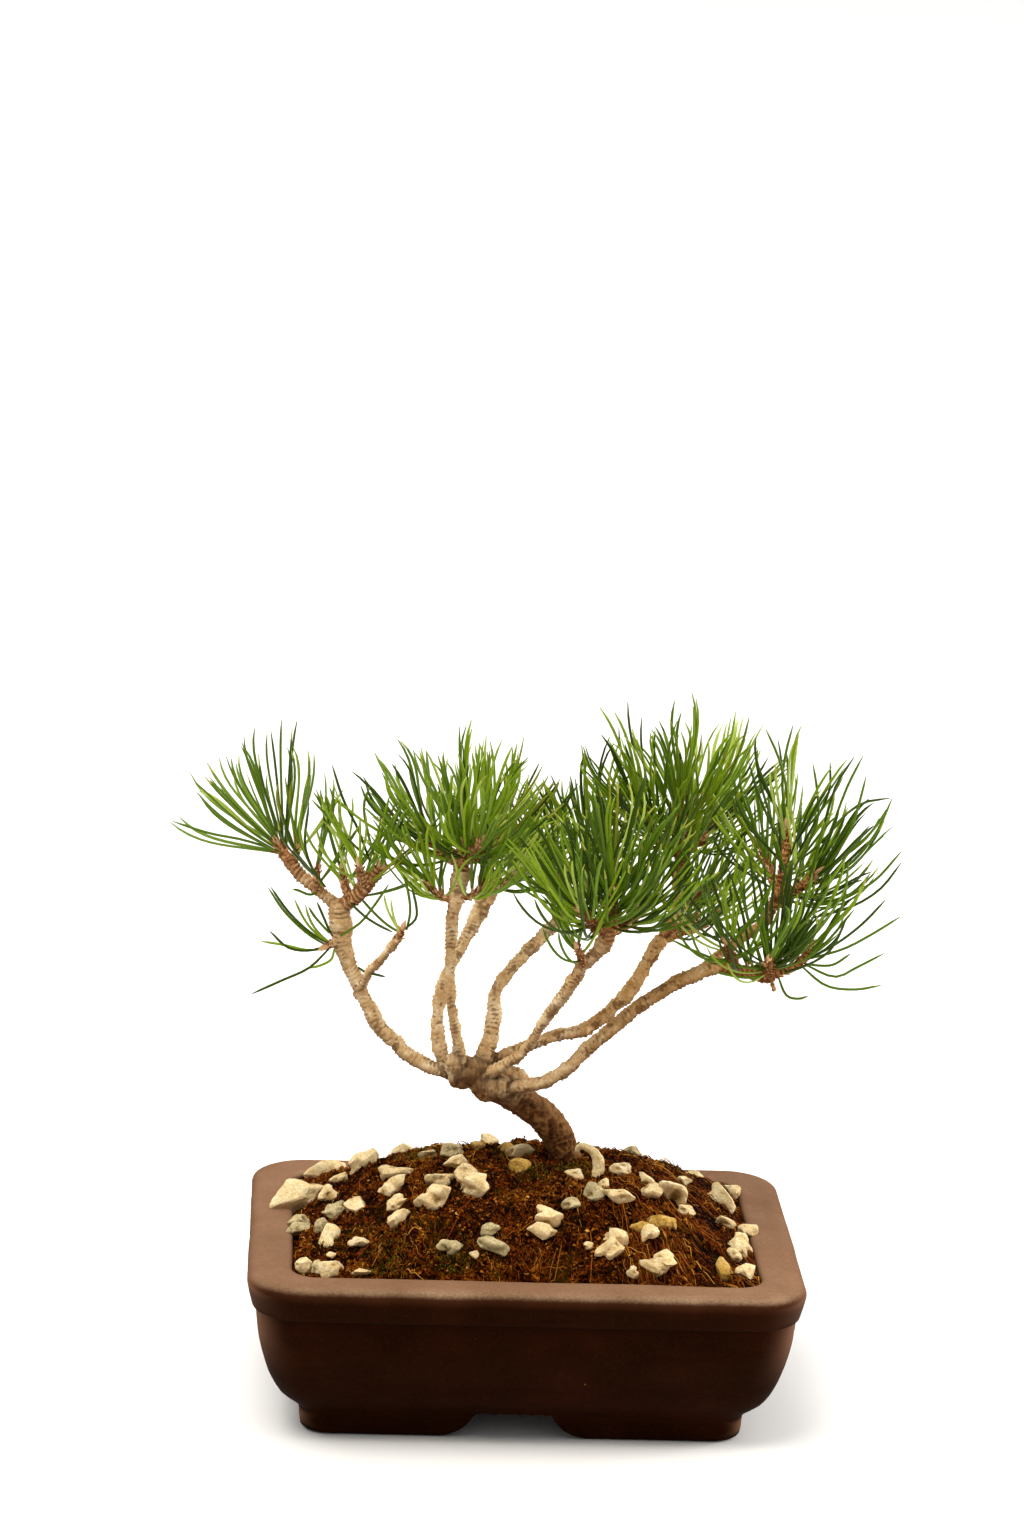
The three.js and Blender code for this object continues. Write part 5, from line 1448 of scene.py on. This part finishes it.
# Dry parts of a shoot: a sheath round the foot of each pair, scales on the stem and the bud.
def addDryParts(dry, shoot, feet, seen, darker, seed):
    i = np.arange(len(feet))
    foot = feet[seen]
    radius = np.broadcast_to(needles["sheathRadius"] * np.array(needles["sheathProfile"]), foot.shape[:2])
    points, walls, ends = tubes(foot, radius, 5)
    pick = np.floor(3 * randomAt(i, 30, seed)[seen] ** darker).astype(int)
    dry.add(points, (walls, np.repeat(pick, 15)), (ends, np.tile(pick, 2)))
    points, walls, ends = tubes(*stemScales(shoot, seed), 3)
    pick = np.floor(3 * randomAt(np.arange(len(ends) // 2), 31, seed)).astype(int)
    dry.add(points, (walls, np.repeat(pick, 6)), (ends, np.tile(pick, 2)))
    points, walls, ends = tubes(*shootBud(shoot, seed), 10)
    dry.add(points, (walls, 2), (ends, 2))


# Blades of the loose needles, in the first three tints.
def addLoose(heap, paths, profile, seed):
    sides, stations = needles["sides"], needles["stations"]
    curve = np.stack([smoothPath(path, stations) for path in paths])
    width = np.broadcast_to(profile * 0.95, curve.shape[:2])
    points, walls, ends = tubes(curve, width, sides, needles["flat"])
    tint = np.repeat(randomAt(np.arange(len(curve)), 33, seed) * 2.2, (stations - 1) * sides).astype(int)
    heap.add(points, (walls, tint), (ends, np.repeat(endTints, len(curve))))


# One piece of blades for each mass, and one piece for all that is
# dry. Blades widen over their first sixth and narrow over their last.
def makeNeedles(rows):
    tints = finishesOf(needles["tints"], **needles["shine"])
    dryTints = finishesOf(needles["dryTints"], Specular_IOR_Level=0.1)
    dry = Heap()
    t = np.linspace(0, 1, needles["stations"])
    taper = 0.7 * np.clip((t - 0.82) / 0.18, 0, 1) ** 2
    profile = needles["half"] * np.minimum(1, 0.72 + 1.6 * t) * (1 - taper)
    limbRows = np.concatenate(rows[:len(limbs)])
    total = 0
    for order, (name, shoots) in enumerate(masses.items()):
        heap = Heap()
        cool = name.startswith(("needles_left", "needles_far"))
        # The top mass draws more of the paler tints, as painted light from above.
        marks = needles["marks"]["cool" if cool else "sunny" if name == "needles_top" else "even"]
        # The tint of the painted highlight stripe.
        paintedHighlightStripe = tintNumber["needlePale" if cool else "needleFresh"]
        for number, shoot in enumerate(shoots):
            seed = order * 7 + number
            count = max(1, round(shoot["needles"] * needles["pairs"][name]))
            curves, feet = needlePairs(shoot, count, needles["curl"].get(name, 1), seed)
            keep = keptNeedles(curves, shoot, limbRows)
            for twin in (0, 1):
                addBlades(heap, curves[twin], keep[twin], twin, marks, paintedHighlightStripe, profile, seed)
            addDryParts(dry, shoot, feet, keep.any(0), 0.8 if cool else 1.7, seed)
            total += keep.sum()
        if name in loose:
            addLoose(heap, loose[name], profile, order)
            total += len(loose[name])
        heap.piece(name + "_blades", tints, "needles", [name])
    dry.piece("sheaths_and_scales", dryTints, "bark")
    print("needles", total)


# run

print("camera and light")
makeCamera()
makeLights()
makeFloor()

print("pot")
makePot()

print("soil")
makeSoil()
makeFibres()
makeCrumbs()
makeMoss()

print("stones")
makeStones()

print("bark")
samples = limbSamples()
makeBark(samples)

print("needles")
makeNeedles(samples)
